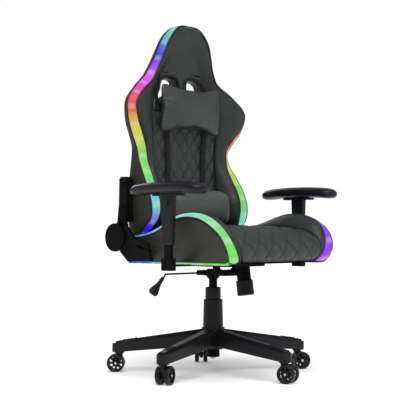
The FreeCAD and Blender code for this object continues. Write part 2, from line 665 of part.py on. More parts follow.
def tapered_post(low, high, low_size, high_size, centre):
    """A four-sided tapered column, from (length along X, length along Y) at its foot to the same at its head."""
    rings = []
    for z, (x, y) in ((low, low_size), (high, high_size)):
        corners = [(-x / 2, -y / 2), (x / 2, -y / 2), (x / 2, y / 2), (-x / 2, y / 2)]
        rings.append(Part.makePolygon([Vector(centre[0] + a, centre[1] + b, z) for a, b in corners + corners[:1]]))
    return Part.makeLoft(rings, True, True)


def softened(shape, radius):
    """Rounds the upright edges of a solid."""
    edges = []
    for edge in shape.Edges:
        line = edge.Vertexes[-1].Point - edge.Vertexes[0].Point
        if line.Length > 1 and abs(line.z) / line.Length > 0.9:
            edges.append(edge)
    return shape.makeFillet(radius, edges)


def rounded_plan(left, right, front, rear, radius, height):
    """A level rectangle with round corners."""
    diagonal = radius * (1 - math.sqrt(0.5))
    edges = []
    corners = [(left, front, 1, 1), (right, front, -1, 1), (right, rear, -1, -1), (left, rear, 1, -1)]
    for i, (x, y, to_x, to_y) in enumerate(corners):
        start = Vector(x, y + to_y * radius, height)
        end = Vector(x + to_x * radius, y, height)
        middle = Vector(x + to_x * diagonal, y + to_y * diagonal, height)
        edges.append(Part.Arc(start, middle, end).toShape())
    edges.append(Part.makeLine(Vector(left + radius, front, height), Vector(right - radius, front, height)))
    edges.append(Part.makeLine(Vector(left + radius, rear, height), Vector(right - radius, rear, height)))
    edges.append(Part.makeLine(Vector(left, front + radius, height), Vector(left, rear - radius, height)))
    edges.append(Part.makeLine(Vector(right, front + radius, height), Vector(right, rear - radius, height)))
    return closed_face(edges)


def arm_pad_shape(x):
    length = size("dims.pad_length")
    width = size("dims.pad_width")
    low = size("dims.pad_bottom")
    top = size("dims.pad_top")
    middle = size("dims.pad_y")
    front = middle - length / 2
    rear = middle + length / 2
    half = length / 2
    upper = [(-half, top - 14), (-90, top - 4), (-35, top), (35, top), (90, top - 4), (half, top - 14)]
    lower = [(half, low - 6), (80, low), (-80, low), (-half, low - 6)]
    arch = flat_yz([(middle + y, z) for y, z in upper + lower], x - 60, x + 60)
    plan = rounded_plan(x - width / 2, x + width / 2, front, rear, 30, low - 30)
    return arch.common(plan.extrude(Vector(0, 0, top + 40 - low)))


def armrest(side):
    sign = 1 if side == "l" else -1
    x = sign * size("dims.rest_x")
    y = size("dims.rest_y")
    foot_low = size("dims.rest_foot_bottom")
    foot_top = size("dims.rest_foot_top")
    inner = sign * 120
    tongue = block((min(inner, x), y - 22, 369), (max(inner, x), y + 22, size("dims.seat_bottom") - 0.5))
    foot = softened(block((x - 13, y - 22, foot_low), (x + 13, y + 22, foot_top)), 4)
    post = softened(block((x - 6.5, y - 16, foot_top - 2), (x + 6.5, y + 16, size("dims.rest_post_top"))), 4)
    bracket = tongue.fuse([foot, post]).removeSplitter()
    node(feature(f"rest_bracket_{side}", bracket), f"arm_bracket_{side}")

    low = size("dims.rest_sleeve_bottom")
    top = size("dims.rest_sleeve_top")
    sleeve = softened(tapered_post(low, top, (18, 40), (22, 52), (x, y)), 4)
    cavity = softened(block((x - 6.9, y - 16.4, low - 5), (x + 6.9, y + 16.4, top - 3)), 4.2)
    face = x + sign * 10.2
    button_low = (min(face - sign * 5, face + sign * 4), y - 8, 556)
    button_high = (max(face - sign * 5, face + sign * 4), y + 8, 576)
    pocket = block((min(x, x + sign * 20), y - 8.3, 555.7), (max(x, x + sign * 20), y + 8.3, 576.3))
    sleeve = sleeve.cut([cavity, pocket])
    node(feature(f"rest_sleeve_{side}", sleeve), f"arm_sleeve_{side}")
    middle = size("dims.pad_y")
    pad = arm_pad_shape(sign * (size("dims.rest_x") + 1))
    plate = block((x - 18, middle - 55, top), (x + 18, middle + 55, top + 9))
    node(feature(f"rest_plate_{side}", plate.cut(pad)), f"arm_pad_base_{side}")
    node(feature(f"rest_pad_{side}", pad.cut(block((x - 18, middle - 55, top), (x + 18, middle + 55, top + 6)))),
         f"arm_pad_{side}")
    button = softened(block(button_low, button_high), 1.5)
    button = button.cut(block((x - 8.9 - 4, y - 30, 500), (x + 8.9, y + 30, 600)) if sign > 0
                        else block((x - 8.9, y - 30, 500), (x + 12.9, y + 30, 600)))
    node(feature(f"rest_button_{side}", button), f"arm_button_{side}")


# ---------------------------------------------------------------- back

def back_half_outline():
    """Half width of the back at each height, from the crown to the foot."""
    return [
        (0, size("dims.back_top")), (52, 1186), (98, 1160), (124, 1112), (142, 1062), (168, 1018), (214, 978), (254, 938), (276, 892),
        (272, 848), (246, 804), (225, 764), (219, 724), (227, 668), (232, 600), (231, 540), (226, 504),
    ]


def back_front_line():
    """Depth of the wings' front edge at each height."""
    return [(486, 92), (520, 62), (560, 53), (616, 68), (664, 92), (712, 112), (762, 118), (807, 111), (851, 98),
            (898, 94), (946, 107), (993, 122), (1038, 124), (1110, 117), (1200, 114)]


def back_shell():
    points = back_half_outline()
    foot = size("dims.back_bottom")
    right = curve([(x, 0, z) for x, z in points])
    left = mirrored(right)
    bottom = Part.LineSegment(Vector(-190, 0, foot), Vector(190, 0, foot)).toShape()
    last = points[-1]
    corners = [
        Part.LineSegment(Vector(s * last[0], 0, last[1]), Vector(s * 190, 0, foot)).toShape() for s in (-1, 1)
    ]
    front_view = closed_face([right, left, bottom] + corners).extrude(Vector(0, 300, 0))
    rear = size("dims.back_rear")
    line = back_front_line()
    edges = [curve([(-350, y, z) for z, y in line])]
    behind = [(rear - 24, 1200), (rear - 20, 1050), (rear, 950), (rear, 560), (rear - 30, foot)]
    corners = [(line[-1][1], line[-1][0])] + behind + [(line[0][1], line[0][0])]
    for a, b in zip(corners, corners[1:]):
        edges.append(Part.LineSegment(Vector(-350, *a), Vector(-350, *b)).toShape())
    side_view = closed_face(edges).extrude(Vector(700, 0, 0))
    plan = [(-320, 0), (320, 0), (320, 137), (190, rear), (-190, rear), (-320, 137)]
    plan_view = Part.Face(Part.makePolygon([Vector(x, y, 400) for x, y in plan + plan[:1]]))
    return front_view.common(side_view).common(plan_view.extrude(Vector(0, 0, 900)))


def back_channel():
    """The hollow between the wings, in front of the quilted panel."""
    half = size("dims.back_panel_half")
    depth = size("dims.back_panel_y")
    rings = []
    for z, wide, back, flare in (
        (470, half - 5, depth - 4, 34), (700, half, depth, 40), (890, half + 2, depth - 6, 80),
        (985, 112, depth + 6, 60), (1030, 88, depth + 4, 40), (1085, 60, depth - 12, 30), (1140, 30, 116, 20),
    ):
        ring = [(-wide, back), (wide, back), (wide + flare, 40), (-wide - flare, 40)]
        rings.append(Part.makePolygon([Vector(x, y, z) for x, y in ring + ring[:1]]))
    return Part.makeLoft(rings, True, True)


def hole_prism(grow):
    """One of the two strap openings, grown outwards by a wall."""
    corners = [(20, 902), (22, 1002), (32, 1012), (80, 1012), (96, 1000), (124, 930), (122, 902), (108, 890), (30, 890)]
    centre_x = sum(x for x, z in corners) / len(corners)
    centre_z = sum(z for x, z in corners) / len(corners)
    grown = []
    for x, z in corners:
        away = Vector(x - centre_x, 0, z - centre_z)
        grown.append(Vector(x, 0, z) + away * (grow / away.Length))
    face = Part.Face(Part.makePolygon(grown + grown[:1]))
    return face.extrude(Vector(0, 300, 0))


def back_frame_bars():
    """Welded steel frame inside the back: two sides, four cross bars."""
    near = 152
    far = 168
    sides = [block((176, near, 500), (192, far, 860)), block((132, near, 846), (192, far, 862)),
             block((132, near, 862), (148, far, 1022))]
    both = sides + [mirrored(s) for s in sides]
    crosses = [block((-192, near, z), (192, far, z + 16)) for z in (500, 640, 846)]
    crosses.append(block((-148, near, 1022), (148, far, 1036)))
    plates = [block((192, 118, 540), (200, far, 650)), mirrored(block((192, 118, 540), (200, far, 650)))]
    return both[0].fuse(both[1:] + crosses + plates).removeSplitter()


def back_bolt_shapes():
    """Bolts from each recliner arm through a spacer to the frame, on the +X side."""
    shapes = []
    outer = size("dims.recline_plate_x") - 1
    for y, z in ((156, 560), (156, 632)):
        shank = Part.makeCylinder(size("dims.bolt_radius"), outer - 192, Vector(192, y, z), Vector(1, 0, 0))
        spacer = Part.makeCylinder(9, size("dims.recline_block_x") - 200, Vector(200, y, z), Vector(1, 0, 0))
        head = Part.makeCylinder(7, 4, Vector(outer, y, z), Vector(1, 0, 0))
        shapes.append(shank.fuse([spacer, head]).removeSplitter())
    return shapes


def back_group():
    shell = back_shell().cut(back_channel())
    inset = size("dims.strip_depth")
    core_points = []
    rim = back_half_outline()
    for i, (x, z) in enumerate(rim):
        before = rim[max(i - 1, 0)]
        after = rim[min(i + 1, len(rim) - 1)]
        along = Vector(after[0] - before[0], 0, after[1] - before[1]).normalize()
        core_points.append((max(x + inset * along.z, 0), z - inset * along.x))
    core_points[0] = (0, rim[0][1] - inset)
    right = curve([(x, 0, z) for x, z in core_points])
    foot = size("dims.back_bottom")
    last = core_points[-1]
    edges = [right, mirrored(right), Part.LineSegment(Vector(-180, 0, foot - 20), Vector(180, 0, foot - 20)).toShape()]
    for s in (-1, 1):
        edges.append(Part.LineSegment(Vector(s * last[0], 0, last[1]), Vector(s * 180, 0, foot - 20)).toShape())
    core = closed_face(edges).extrude(Vector(0, 300, 0))
    band = shell.cut(core)
    line = back_front_line()
    depth_edges = [curve([(-350, y + 26, z) for z, y in line])]
    corners = [(line[-1][1] + 26, line[-1][0]), (0, 1200), (0, line[0][0]), (line[0][1] + 26, line[0][0])]
    for a, b in zip(corners, corners[1:]):
        depth_edges.append(Part.LineSegment(Vector(-350, *a), Vector(-350, *b)).toShape())
    strip = band.common(closed_face(depth_edges).extrude(Vector(700, 0, 0)))
    strip = max(strip.Solids, key=lambda s: s.Volume)
    frame = back_frame_bars()
    bolts = back_bolt_shapes()
    all_bolts = bolts + [mirrored(b) for b in bolts]
    holes = [hole_prism(6), mirrored(hole_prism(6))]
    foam = shell.cut([strip, frame] + holes + all_bolts)
    foam = max(foam.Solids, key=lambda s: s.Volume)
    node(feature("back_foam", foam), "back_cushion")
    node(feature("back_light", strip), "back_led_strip")
    node(feature("back_bars", frame.cut(all_bolts)), "back_frame")
    node(feature("back_screws", Part.makeCompound(all_bolts)), "back_bolts")
    bezel = hole_prism(6).cut(hole_prism(0)).common(shell)
    bezel = max(bezel.Solids, key=lambda s: s.Volume)
    node(feature("bezels", both_sides(bezel)), "back_bezels")


def cushion_block(low, high, radius):
    solid = block(low, high)
    return solid.makeFillet(radius, solid.Edges)


def pillows():
    half = size("dims.pillow_half")
    head = cushion_block((-half, 72, size("dims.pillow_low")), (half, 129.5, size("dims.pillow_high")), 24)
    node(feature("head_cushion", head), "head_pillow")
    half = size("dims.lumbar_half")
    lumbar = cushion_block((-half, size("dims.lumbar_front"), size("dims.lumbar_low")),
                           (half, 128, size("dims.lumbar_high")), 28)
    node(feature("lumbar_cushion", lumbar), "lumbar_pillow")


def ribbon(points, thickness, low_z, high_z):
    """A flat band of constant thickness through XY corner points, standing from low_z to high_z."""
    pieces = []
    for a, b in zip(points, points[1:]):
        start = Vector(a[0], a[1], low_z)
        along = Vector(b[0] - a[0], b[1] - a[1], 0)
        piece = Part.makeBox(along.Length, thickness, high_z - low_z, Vector(0, -thickness / 2, 0))
        piece.rotate(Vector(0, 0, 0), Vector(0, 0, 1), math.degrees(math.atan2(along.y, along.x)))
        piece.translate(start)
        pieces.append(piece)
    for x, y in points[1:-1]:
        pieces.append(Part.makeCylinder(thickness / 2, high_z - low_z, Vector(x, y, low_z)))
    return pieces[0].fuse(pieces[1:]).removeSplitter()


def straps():
    rear = size("dims.back_rear") + 4
    head = ribbon([(-112, 139), (-92, 152), (-84, rear), (84, rear), (92, 152), (112, 139)], 1.6, 915, 940)
    node(feature("head_band", head), "head_strap")
    x = size("dims.strap_x")
    loop = ribbon([(131.5, 700), (131.5, 893), (140, 897), (rear, 897), (rear, 560), (rear - 28, 482),
                   (131.5, 482), (131.5, 700)], 1.6, x - 12, x + 12)
    loop.rotate(Vector(0, 0, 0), Vector(1, 1, 1), 120)
    node(feature("lumbar_bands", both_sides(loop)), "lumbar_straps")


def write_parts():
    doc.recompute()
    for item in doc.Objects:
        state = item.State
        if "Invalid" in state or "Error" in state:
            raise RuntimeError(f"{item.Name} ({item.Label}) failed: {state}")
    os.makedirs("parts", exist_ok=True)
    for item in nodes:
        shape = item.Shape
        if shape.isNull() or not shape.isValid():
            raise RuntimeError(f"{item.Label} has no valid shape")
        solids = len(shape.Solids)
        shape.exportStep(f"parts/{item.Label}.step")
        print(f"{item.Label}: {solids} solid(s), {shape.Volume / 1000:.1f} cm3")


def main():
    star_base()
    gas_lift()
    lift_covers()
    for index in range(1, 6):
        caster(index)
    mechanism()
    top_plate()
    tension_group()
    lift_lever()
    seat_group()
    for side in ("r", "l"):
        recliner_side(side)
        armrest(side)
    recliner_caps()
    recline_lever()
    back_group()
    pillows()
    straps()
    write_parts()
    print(len(nodes), "nodes")


main()
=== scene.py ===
"""The looks of the gaming chair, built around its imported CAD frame.

Lengths are in metres, except in the tables of points, which mm() reads as millimetres. Z is up, the
sitter faces -Y, and +X is on the sitter's left. Upholstered pieces are lofted through rings of points,
and their quilting and seams are moved into the mesh.
"""

import json
import math

import bmesh
import bpy
import numpy as np
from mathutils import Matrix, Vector, noise


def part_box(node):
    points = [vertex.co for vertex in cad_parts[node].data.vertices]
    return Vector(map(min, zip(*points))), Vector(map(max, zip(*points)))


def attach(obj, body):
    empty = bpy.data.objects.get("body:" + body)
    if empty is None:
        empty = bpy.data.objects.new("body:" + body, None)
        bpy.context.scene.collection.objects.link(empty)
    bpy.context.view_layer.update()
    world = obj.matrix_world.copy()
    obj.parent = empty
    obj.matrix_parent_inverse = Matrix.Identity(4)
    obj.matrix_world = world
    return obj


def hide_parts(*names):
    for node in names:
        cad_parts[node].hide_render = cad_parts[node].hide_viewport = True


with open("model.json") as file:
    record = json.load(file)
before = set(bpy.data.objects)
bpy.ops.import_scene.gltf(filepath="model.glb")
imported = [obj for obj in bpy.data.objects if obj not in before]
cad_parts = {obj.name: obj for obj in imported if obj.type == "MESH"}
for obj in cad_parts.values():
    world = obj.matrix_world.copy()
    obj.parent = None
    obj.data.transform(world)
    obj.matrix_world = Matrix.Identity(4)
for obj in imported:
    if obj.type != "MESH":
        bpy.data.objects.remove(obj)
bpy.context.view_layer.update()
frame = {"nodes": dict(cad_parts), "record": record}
SIDES = {"r": -1, "l": 1}
MIRROR = np.array((-1, 1, 1))


# -------- camera, lights and floor

def camera():
    """A low camera off the chair's front right corner, as far off as a product photograph is taken from."""
    data = bpy.data.cameras.new("camera")
    data.lens = 94.9
    eye = bpy.data.objects.new("camera", data)
    eye.location = (-2.668, -2.558, 0.4765)
    heading = math.radians(44.06)
    pitch = math.radians(1.244)
    level = math.cos(pitch)
    ahead = Vector((math.cos(heading) * level, math.sin(heading) * level, math.sin(pitch)))
    eye.rotation_euler = ahead.to_track_quat("-Z", "Y").to_euler()
    bpy.context.scene.collection.objects.link(eye)
    bpy.context.scene.camera = eye


def add_light(kind, name, place, target, power, **settings):
    data = bpy.data.lights.new(name, kind)
    data.energy = power
    for key, value in settings.items():
        setattr(data, key, value)
    lamp = bpy.data.objects.new(name, data)
    lamp.location = place
    lamp.rotation_euler = (Vector(target) - Vector(place)).to_track_quat("-Z", "Y").to_euler()
    bpy.context.scene.collection.objects.link(lamp)


def studio():
    """A soft sun under a pale sky, three soft boxes, and a floor as pale as the background."""
    bpy.context.scene.view_settings.view_transform = "Standard"
    world = bpy.data.worlds.new("studio")
    world.use_nodes = True
    tree = world.node_tree
    sky = tree.nodes["Background"]
    sky.inputs["Color"].default_value = (1, 1, 1, 1)
    seen = tree.nodes.new("ShaderNodeLightPath")
    strength = tree.nodes.new("ShaderNodeMapRange")
    strength.inputs["To Min"].default_value = 0.36
    tree.links.new(seen.outputs["Is Camera Ray"], strength.inputs["Value"])
    tree.links.new(strength.outputs["Result"], sky.inputs["Strength"])
    bpy.context.scene.world = world
    add_light("SUN", "sun", (0, 0, 0), (0.35, 0.5, -1.0), 2.5, angle=math.radians(50))
    add_light("AREA", "key", (-2.4, -1.4, 2.2), (0, 0, 0.6), 16, size=1.0)
    add_light("AREA", "side", (2.2, -2.6, 1.5), (0, 0, 0.6), 12, size=1.0)
    add_light("AREA", "rear", (1.2, 2.8, 2.2), (0, 0, 0.8), 20, size=1.5)
    bpy.ops.mesh.primitive_plane_add(size=60)
    floor = bpy.context.active_object
    floor.name = "floor"
    floor.select_set(False)
    floor.data.materials.append(floor_finish())


# -------- finishes

def srgb(red, green, blue):
    """A screen colour, 0 to 255, as the linear colour that shaders use."""
    shares = [value / 255 for value in (red, green, blue)]
    return tuple(v / 12.92 if v <= 0.04045 else ((v + 0.055) / 1.055) ** 2.4 for v in shares) + (1.0,)


class Finish:
    """A Principled material, and short calls that add nodes to it."""

    def __init__(self, name, **sockets):
        self.material = bpy.data.materials.new(name)
        self.material.use_nodes = True
        self.tree = self.material.node_tree
        self.shader = self.tree.nodes["Principled BSDF"]
        for key, value in sockets.items():
            self.shader.inputs[key.replace("_", " ")].default_value = value

    def add(self, kind, inputs=None, **settings):
        made = self.tree.nodes.new("ShaderNode" + kind)
        for key, value in settings.items():
            setattr(made, key, value)
        for key, value in (inputs or {}).items():
            self.give(made.inputs[key], value)
        return made

    def give(self, socket, value):
        if isinstance(value, bpy.types.NodeSocket):
            self.tree.links.new(value, socket)
        else:
            socket.default_value = value

    def place(self):
        return self.add("TexCoord").outputs["Object"]

    def math(self, operation, first, second=0.0, third=0.0):
        return self.add("Math", {0: first, 1: second, 2: third}, operation=operation).outputs[0]

    def noise(self, where, scale, detail=2.0):
        return self.add("TexNoise", {"Vector": where, "Scale": scale, "Detail": detail}).outputs["Fac"]

    def cells(self, where, scale):
        return self.add("TexVoronoi", {"Vector": where, "Scale": scale}).outputs["Distance"]

    def between(self, value, low, high, start=0.3, end=0.7):
        """low at start and high at end."""
        inputs = {"Value": value, "From Min": start, "From Max": end, "To Min": low, "To Max": high}
        return self.add("MapRange", inputs).outputs["Result"]

    def ramp(self, value, stops):
        made = self.add("ValToRGB", {"Fac": value})
        points = made.color_ramp.elements
        while len(points) < len(stops):
            points.new(1.0)
        for point, (place, colour) in zip(points, stops):
            point.position = place
            point.color = colour
        return made.outputs["Color"]

    def mix(self, share, first, second, blend="MIX"):
        made = self.add("Mix", data_type="RGBA", blend_type=blend)
        for key, value in ((0, share), (6, first), (7, second)):
            self.give(made.inputs[key], value)
        return made.outputs[2]

    def bump(self, height, distance, normal=None, strength=1.0):
        inputs = {"Height": height, "Distance": distance, "Strength": strength}
        if normal is not None:
            inputs["Normal"] = normal
        return self.add("Bump", inputs).outputs["Normal"]

    def surface(self, **sockets):
        for key, value in sockets.items():
            self.give(self.shader.inputs[key.replace("_", " ")], value)
        return self.material


def floor_finish():
    finish = Finish("floor_pale", Roughness=0.9, Specular_IOR_Level=0.1,
                    Emission_Color=(1, 1, 1, 1), Emission_Strength=0.22)
    tone = finish.noise(finish.place(), 0.8)
    colour = finish.ramp(tone, [(0.3, (0.86, 0.86, 0.86, 1)), (0.7, (0.88, 0.88, 0.88, 1))])
    return finish.surface(Base_Color=colour)


def leather(name, dark, light, grain=520.0, stitched=False, gloss=0.28):
    """Fine grained faux leather: pebbled, a little mottled, duller in its creases and worn on its crests."""
    finish = Finish(name, Specular_IOR_Level=gloss)
    where = finish.place()
    mottle = finish.noise(where, 11, 4)
    folds = finish.noise(where, 95, 3)
    pebble = finish.cells(where, grain)
    pores = finish.noise(where, 2.6 * grain, 2)
    edge = finish.between(finish.add("NewGeometry").outputs["Pointiness"], 0.0, 1.0, 0.44, 0.58)
    colour = finish.ramp(mottle, [(0.3, dark), (0.7, light)])
    colour = finish.mix(finish.math("MULTIPLY", edge, 0.22), colour, tuple(1.9 * c for c in light[:3]) + (1,))
    height = finish.math("ADD", finish.math("MULTIPLY", pebble, 0.6), finish.math("MULTIPLY", pores, 0.4))
    if stitched:
        colour, height = stitches(finish, colour, height)
    normal = finish.bump(folds, 0.0009, strength=0.5)
    normal = finish.bump(height, 0.00035, normal)
    rough = finish.between(folds, 0.40, 0.54)
    return finish.surface(Base_Color=colour, Roughness=rough, Normal=normal)


def stitches(finish, colour, height):
    """Sewing thread along the quilting, read from the mesh's own quilt coordinates."""
    quilt = finish.add("Attribute", attribute_name="quilt")
    parts = finish.add("SeparateXYZ", {0: quilt.outputs["Vector"]}).outputs
    colour = finish.mix(parts[2], colour, srgb(45, 50, 47))
    lines, seams = [], []
    for own, other in ((0, 1), (1, 0)):
        off = finish.math("PINGPONG", parts[own], 0.5)
        seams.append(off)
        thread = finish.math("LESS_THAN", off, 0.012)
        beat = finish.math("FRACT", finish.math("MULTIPLY", parts[other], 11.0))
        lines.append(finish.math("MULTIPLY", thread, finish.math("LESS_THAN", beat, 0.62)))
    shadow = finish.between(finish.math("MINIMUM", *seams), 0.82, 0.0, 0.0, 0.055)
    colour = finish.mix(finish.math("MULTIPLY", shadow, parts[2]), colour, srgb(18, 20, 19))
    thread = finish.math("MULTIPLY", finish.math("MAXIMUM", *lines), parts[2])
    colour = finish.mix(thread, colour, srgb(40, 43, 41))
    height = finish.math("ADD", height, finish.math("MULTIPLY", thread, 1.5))
    return colour, height


def moulded(name, colour, rough, grain=900.0, bevel=0.0012, gloss=0.2):
    """Injection moulded plastic: a fine spark texture, softly rounded edges and faint handling marks."""
    finish = Finish(name, Specular_IOR_Level=gloss)
    where = finish.place()
    spark = finish.noise(where, grain, 3)
    marks = finish.noise(where, 26, 5)
    tone = finish.noise(where, 5, 2)
    lighter = tuple(min(1, 1.5 * c + 0.004) for c in colour[:3]) + (1,)
    paint = finish.ramp(tone, [(0.35, colour), (0.65, lighter)])
    rounded = finish.add("Bevel", {"Radius": bevel}, samples=4).outputs["Normal"]
    normal = finish.bump(spark, 0.00012, rounded)
    return finish.surface(Base_Color=paint, Roughness=finish.between(marks, rough - 0.06, rough + 0.08),
                          Normal=normal)


def coated_steel(name, colour):
    finish = Finish(name, Metallic=0.05, Specular_IOR_Level=0.07)
    where = finish.place()
    peel = finish.noise(where, 420, 2)
    dust = finish.noise(where, 14, 4)
    paint = finish.ramp(dust, [(0.3, colour), (0.75, tuple(1.8 * c for c in colour[:3]) + (1,))])
    rounded = finish.add("Bevel", {"Radius": 0.0008}, samples=4).outputs["Normal"]
    return finish.surface(Base_Color=paint, Roughness=finish.between(peel, 0.42, 0.56),
                          Normal=finish.bump(peel, 0.00015, rounded))


def bright_steel(name):
    finish = Finish(name, Metallic=1.0)
    where = finish.place()
    stretched = finish.add("Mapping", {"Vector": where, "Scale": (60, 60, 1400)}).outputs["Vector"]
    brushed = finish.noise(stretched, 1.0, 3)
    stain = finish.noise(where, 30, 3)
    colour = finish.ramp(stain, [(0.3, (0.42, 0.42, 0.44, 1)), (0.7, (0.6, 0.6, 0.62, 1))])
    return finish.surface(Base_Color=colour, Roughness=finish.between(brushed, 0.22, 0.4),
                          Normal=finish.bump(brushed, 0.00005))


def weave(name, dark, light, pitch=0.0016):
    """Woven webbing: crossing ribs, with a faint sheen."""
    finish = Finish(name, Roughness=0.75, Specular_IOR_Level=0.2, Sheen_Weight=0.04, Sheen_Roughness=0.5)
    parts = finish.add("SeparateXYZ", {0: finish.place()}).outputs
    across = finish.math("SINE", finish.math("MULTIPLY", parts[0], 2 * math.pi / pitch))
    climb = finish.math("ADD", parts[1], parts[2])
    along = finish.math("SINE", finish.math("MULTIPLY", climb, 2 * math.pi / pitch))
    ribs = finish.math("MULTIPLY_ADD", finish.math("MULTIPLY", across, along), 0.5, 0.5)
    fuzz = finish.noise(finish.place(), 300, 3)
    colour = finish.ramp(finish.math("MULTIPLY_ADD", fuzz, 0.4, finish.math("MULTIPLY", ribs, 0.6)),
                         [(0.2, dark), (0.8, light)])
    return finish.surface(Base_Color=colour, Normal=finish.bump(ribs, 0.0003))


def glow(name, colours, beats, far_side=None):
    """A lit diffuser: coloured along its run, paler over each lamp, with faint drawn streaks."""
    finish = Finish(name, Roughness=0.38, Specular_IOR_Level=0.3, Emission_Strength=0.86)
    run, tone, across = (finish.add("Attribute", attribute_name=key).outputs["Fac"]
                         for key in ("run", "tone", "across"))
    colour = finish.ramp(tone, [(place, srgb(*shade)) for place, *shade in colours])
    if far_side:
        other = finish.ramp(tone, [(place, srgb(*shade)) for place, *shade in far_side])
        x = finish.add("SeparateXYZ", {0: finish.place()}).outputs[0]
        colour = finish.mix(finish.math("GREATER_THAN", x, 0.0), colour, other)
    beat = finish.math("SINE", finish.math("MULTIPLY", run, 2 * math.pi * beats))
    round_spot = finish.math("MULTIPLY_ADD", finish.math("MULTIPLY", across, across), -1.0, 1.0)
    spot = finish.math("MULTIPLY", finish.between(beat, 0.0, 0.26, 0.2, 1.0), round_spot)
    colour = finish.mix(spot, colour, (0.85, 0.85, 0.9, 1))
    stretched = finish.add("Mapping", {"Vector": finish.place(), "Scale": (1, 1, 0.12)}).outputs[0]
    streak = finish.noise(stretched, 700, 2)
    shade = finish.between(streak, 0.84, 1.08)
    shades = finish.add("CombineXYZ", {0: shade, 1: shade, 2: shade}).outputs[0]
    colour = finish.mix(1.0, colour, shades, "MULTIPLY")
    body = finish.mix(0.85, colour, (0, 0, 0, 1))
    return finish.surface(Base_Color=body, Emission_Color=colour, Normal=finish.bump(streak, 0.0002))


def lining(name):
    """Thin black non-woven cloth, as it closes the underside of a seat."""
    finish = Finish(name, Roughness=0.9, Specular_IOR_Level=0.2)
    where = finish.place()
    fibre = finish.noise(where, 500, 5)
    colour = finish.ramp(fibre, [(0.3, (0.006, 0.006, 0.007, 1)), (0.7, (0.02, 0.02, 0.022, 1))])
    return finish.surface(Base_Color=colour, Normal=finish.bump(fibre, 0.0003))


def finishes():
    black = (0.0042, 0.0041, 0.0052, 1)
    height_stops = {
        side: [((height - BACK_GLOW_LOW) / BACK_GLOW_RISE, *shade) for height, *shade in rows]
        for side, rows in BACK_COLOURS.items()
    }
    return {
        "nylon": moulded("nylon_satin", (0.0048, 0.0048, 0.0064, 1), 0.40),
        "dark_steel": coated_steel("steel_powder_coat", (0.0018, 0.0018, 0.0021, 1)),
        "bright_steel": bright_steel("steel_ground"),
        "bush_plastic": moulded("acetal", (0.5, 0.5, 0.46, 1), 0.4),
        "moulded_black": moulded("plastic_fine_grain", black, 0.44),
        "cover_black": moulded("plastic_deep_black", (0.0016, 0.0016, 0.002, 1), 0.46, gloss=0.06),
        "arm_foam": moulded("polyurethane_skin", (0.0050, 0.0046, 0.0085, 1), 0.32, 500.0),
        "leather": leather("leather_front", srgb(33, 37, 34), srgb(38, 42, 39), gloss=0.32),
        "quilt": leather("leather_quilted", srgb(33, 37, 34), srgb(38, 42, 39), stitched=True, gloss=0.32),
        "side": leather("leather_side", srgb(35, 36, 30), srgb(39, 40, 33)),
        "pillow_leather": leather("leather_pillow", srgb(40, 44, 41), srgb(46, 50, 47), 600.0, gloss=0.45),
        "lumbar_leather": leather("leather_lumbar", srgb(64, 67, 65), srgb(70, 73, 71), 600.0),
        "piping": leather("leather_piping", srgb(20, 20, 20), srgb(28, 28, 27), 700.0),
        "lining": lining("seat_lining"),
        "webbing": weave("webbing_black", (0.004, 0.0037, 0.0075, 1), (0.012, 0.0112, 0.021, 1)),
        "caster_black": moulded("caster_nylon", (0.0055, 0.0055, 0.0062, 1), 0.32),
        "back_glow": glow("light_back", height_stops["r"], 31, height_stops["l"]),
        "seat_glow_r": glow("light_seat_r", SEAT_COLOURS["r"], 15),
        "seat_glow_l": glow("light_seat_l", SEAT_COLOURS["l"], 15),
    }


# Colours along each light: up each side of the back by height in millimetres, and along each seat light
# from the rear, over its crest and down the front, then back along the bottom, from 0 to 1.
BACK_GLOW_LOW = 460
BACK_GLOW_RISE = 730
BACK_COLOURS = {
    "r": [
        (463, 45, 20, 235), (480, 50, 25, 235), (497, 65, 45, 230), (512, 90, 80, 225),
        (526, 135, 140, 225), (537, 110, 175, 220), (553, 110, 200, 215), (600, 115, 205, 210),
        (630, 112, 215, 150), (662, 115, 220, 105), (717, 120, 215, 100), (748, 150, 210, 95),
        (785, 210, 215, 90), (815, 215, 215, 95), (840, 215, 190, 80), (858, 222, 160, 70),
        (876, 220, 100, 60), (900, 222, 65, 75), (930, 220, 60, 120), (952, 220, 70, 190),
        (984, 215, 90, 225), (1020, 170, 60, 220), (1041, 130, 65, 225), (1072, 60, 50, 220),
        (1097, 80, 90, 215), (1121, 70, 140, 200), (1146, 100, 190, 200), (1190, 115, 205, 200),
    ],
    "l": [
        (470, 130, 225, 235), (494, 130, 225, 230), (529, 115, 215, 175), (560, 115, 215, 125),
        (635, 125, 215, 95), (674, 175, 215, 90), (713, 210, 210, 90), (745, 215, 175, 75),
        (764, 220, 140, 70), (784, 220, 90, 60), (803, 220, 60, 45), (823, 220, 40, 80),
        (842, 210, 30, 130), (878, 160, 50, 140), (940, 85, 55, 135), (1000, 70, 50, 130),
        (1060, 70, 60, 200), (1110, 70, 120, 210), (1150, 100, 190, 200), (1190, 115, 205, 200),
    ],
}
SEAT_COLOURS = {
    "r": [
        (0.00, 60, 40, 235), (0.10, 110, 140, 240), (0.20, 140, 215, 225), (0.30, 150, 230, 215),
        (0.38, 140, 226, 180), (0.46, 125, 222, 120), (0.56, 105, 225, 75), (0.66, 115, 225, 95),
        (0.76, 135, 222, 160), (0.84, 120, 205, 215), (0.92, 80, 110, 240), (1.00, 50, 20, 235),
    ],
    "l": [
        (0.00, 60, 150, 235), (0.15, 70, 110, 230), (0.28, 85, 85, 230), (0.38, 105, 75, 230),
        (0.46, 135, 70, 225), (0.53, 160, 45, 220), (0.58, 165, 20, 220), (0.70, 110, 30, 220),
        (0.85, 60, 50, 225), (1.00, 60, 120, 230),
    ],
}


# -------- mesh helpers

def mm(points):
    return np.array(points, float) * 0.001


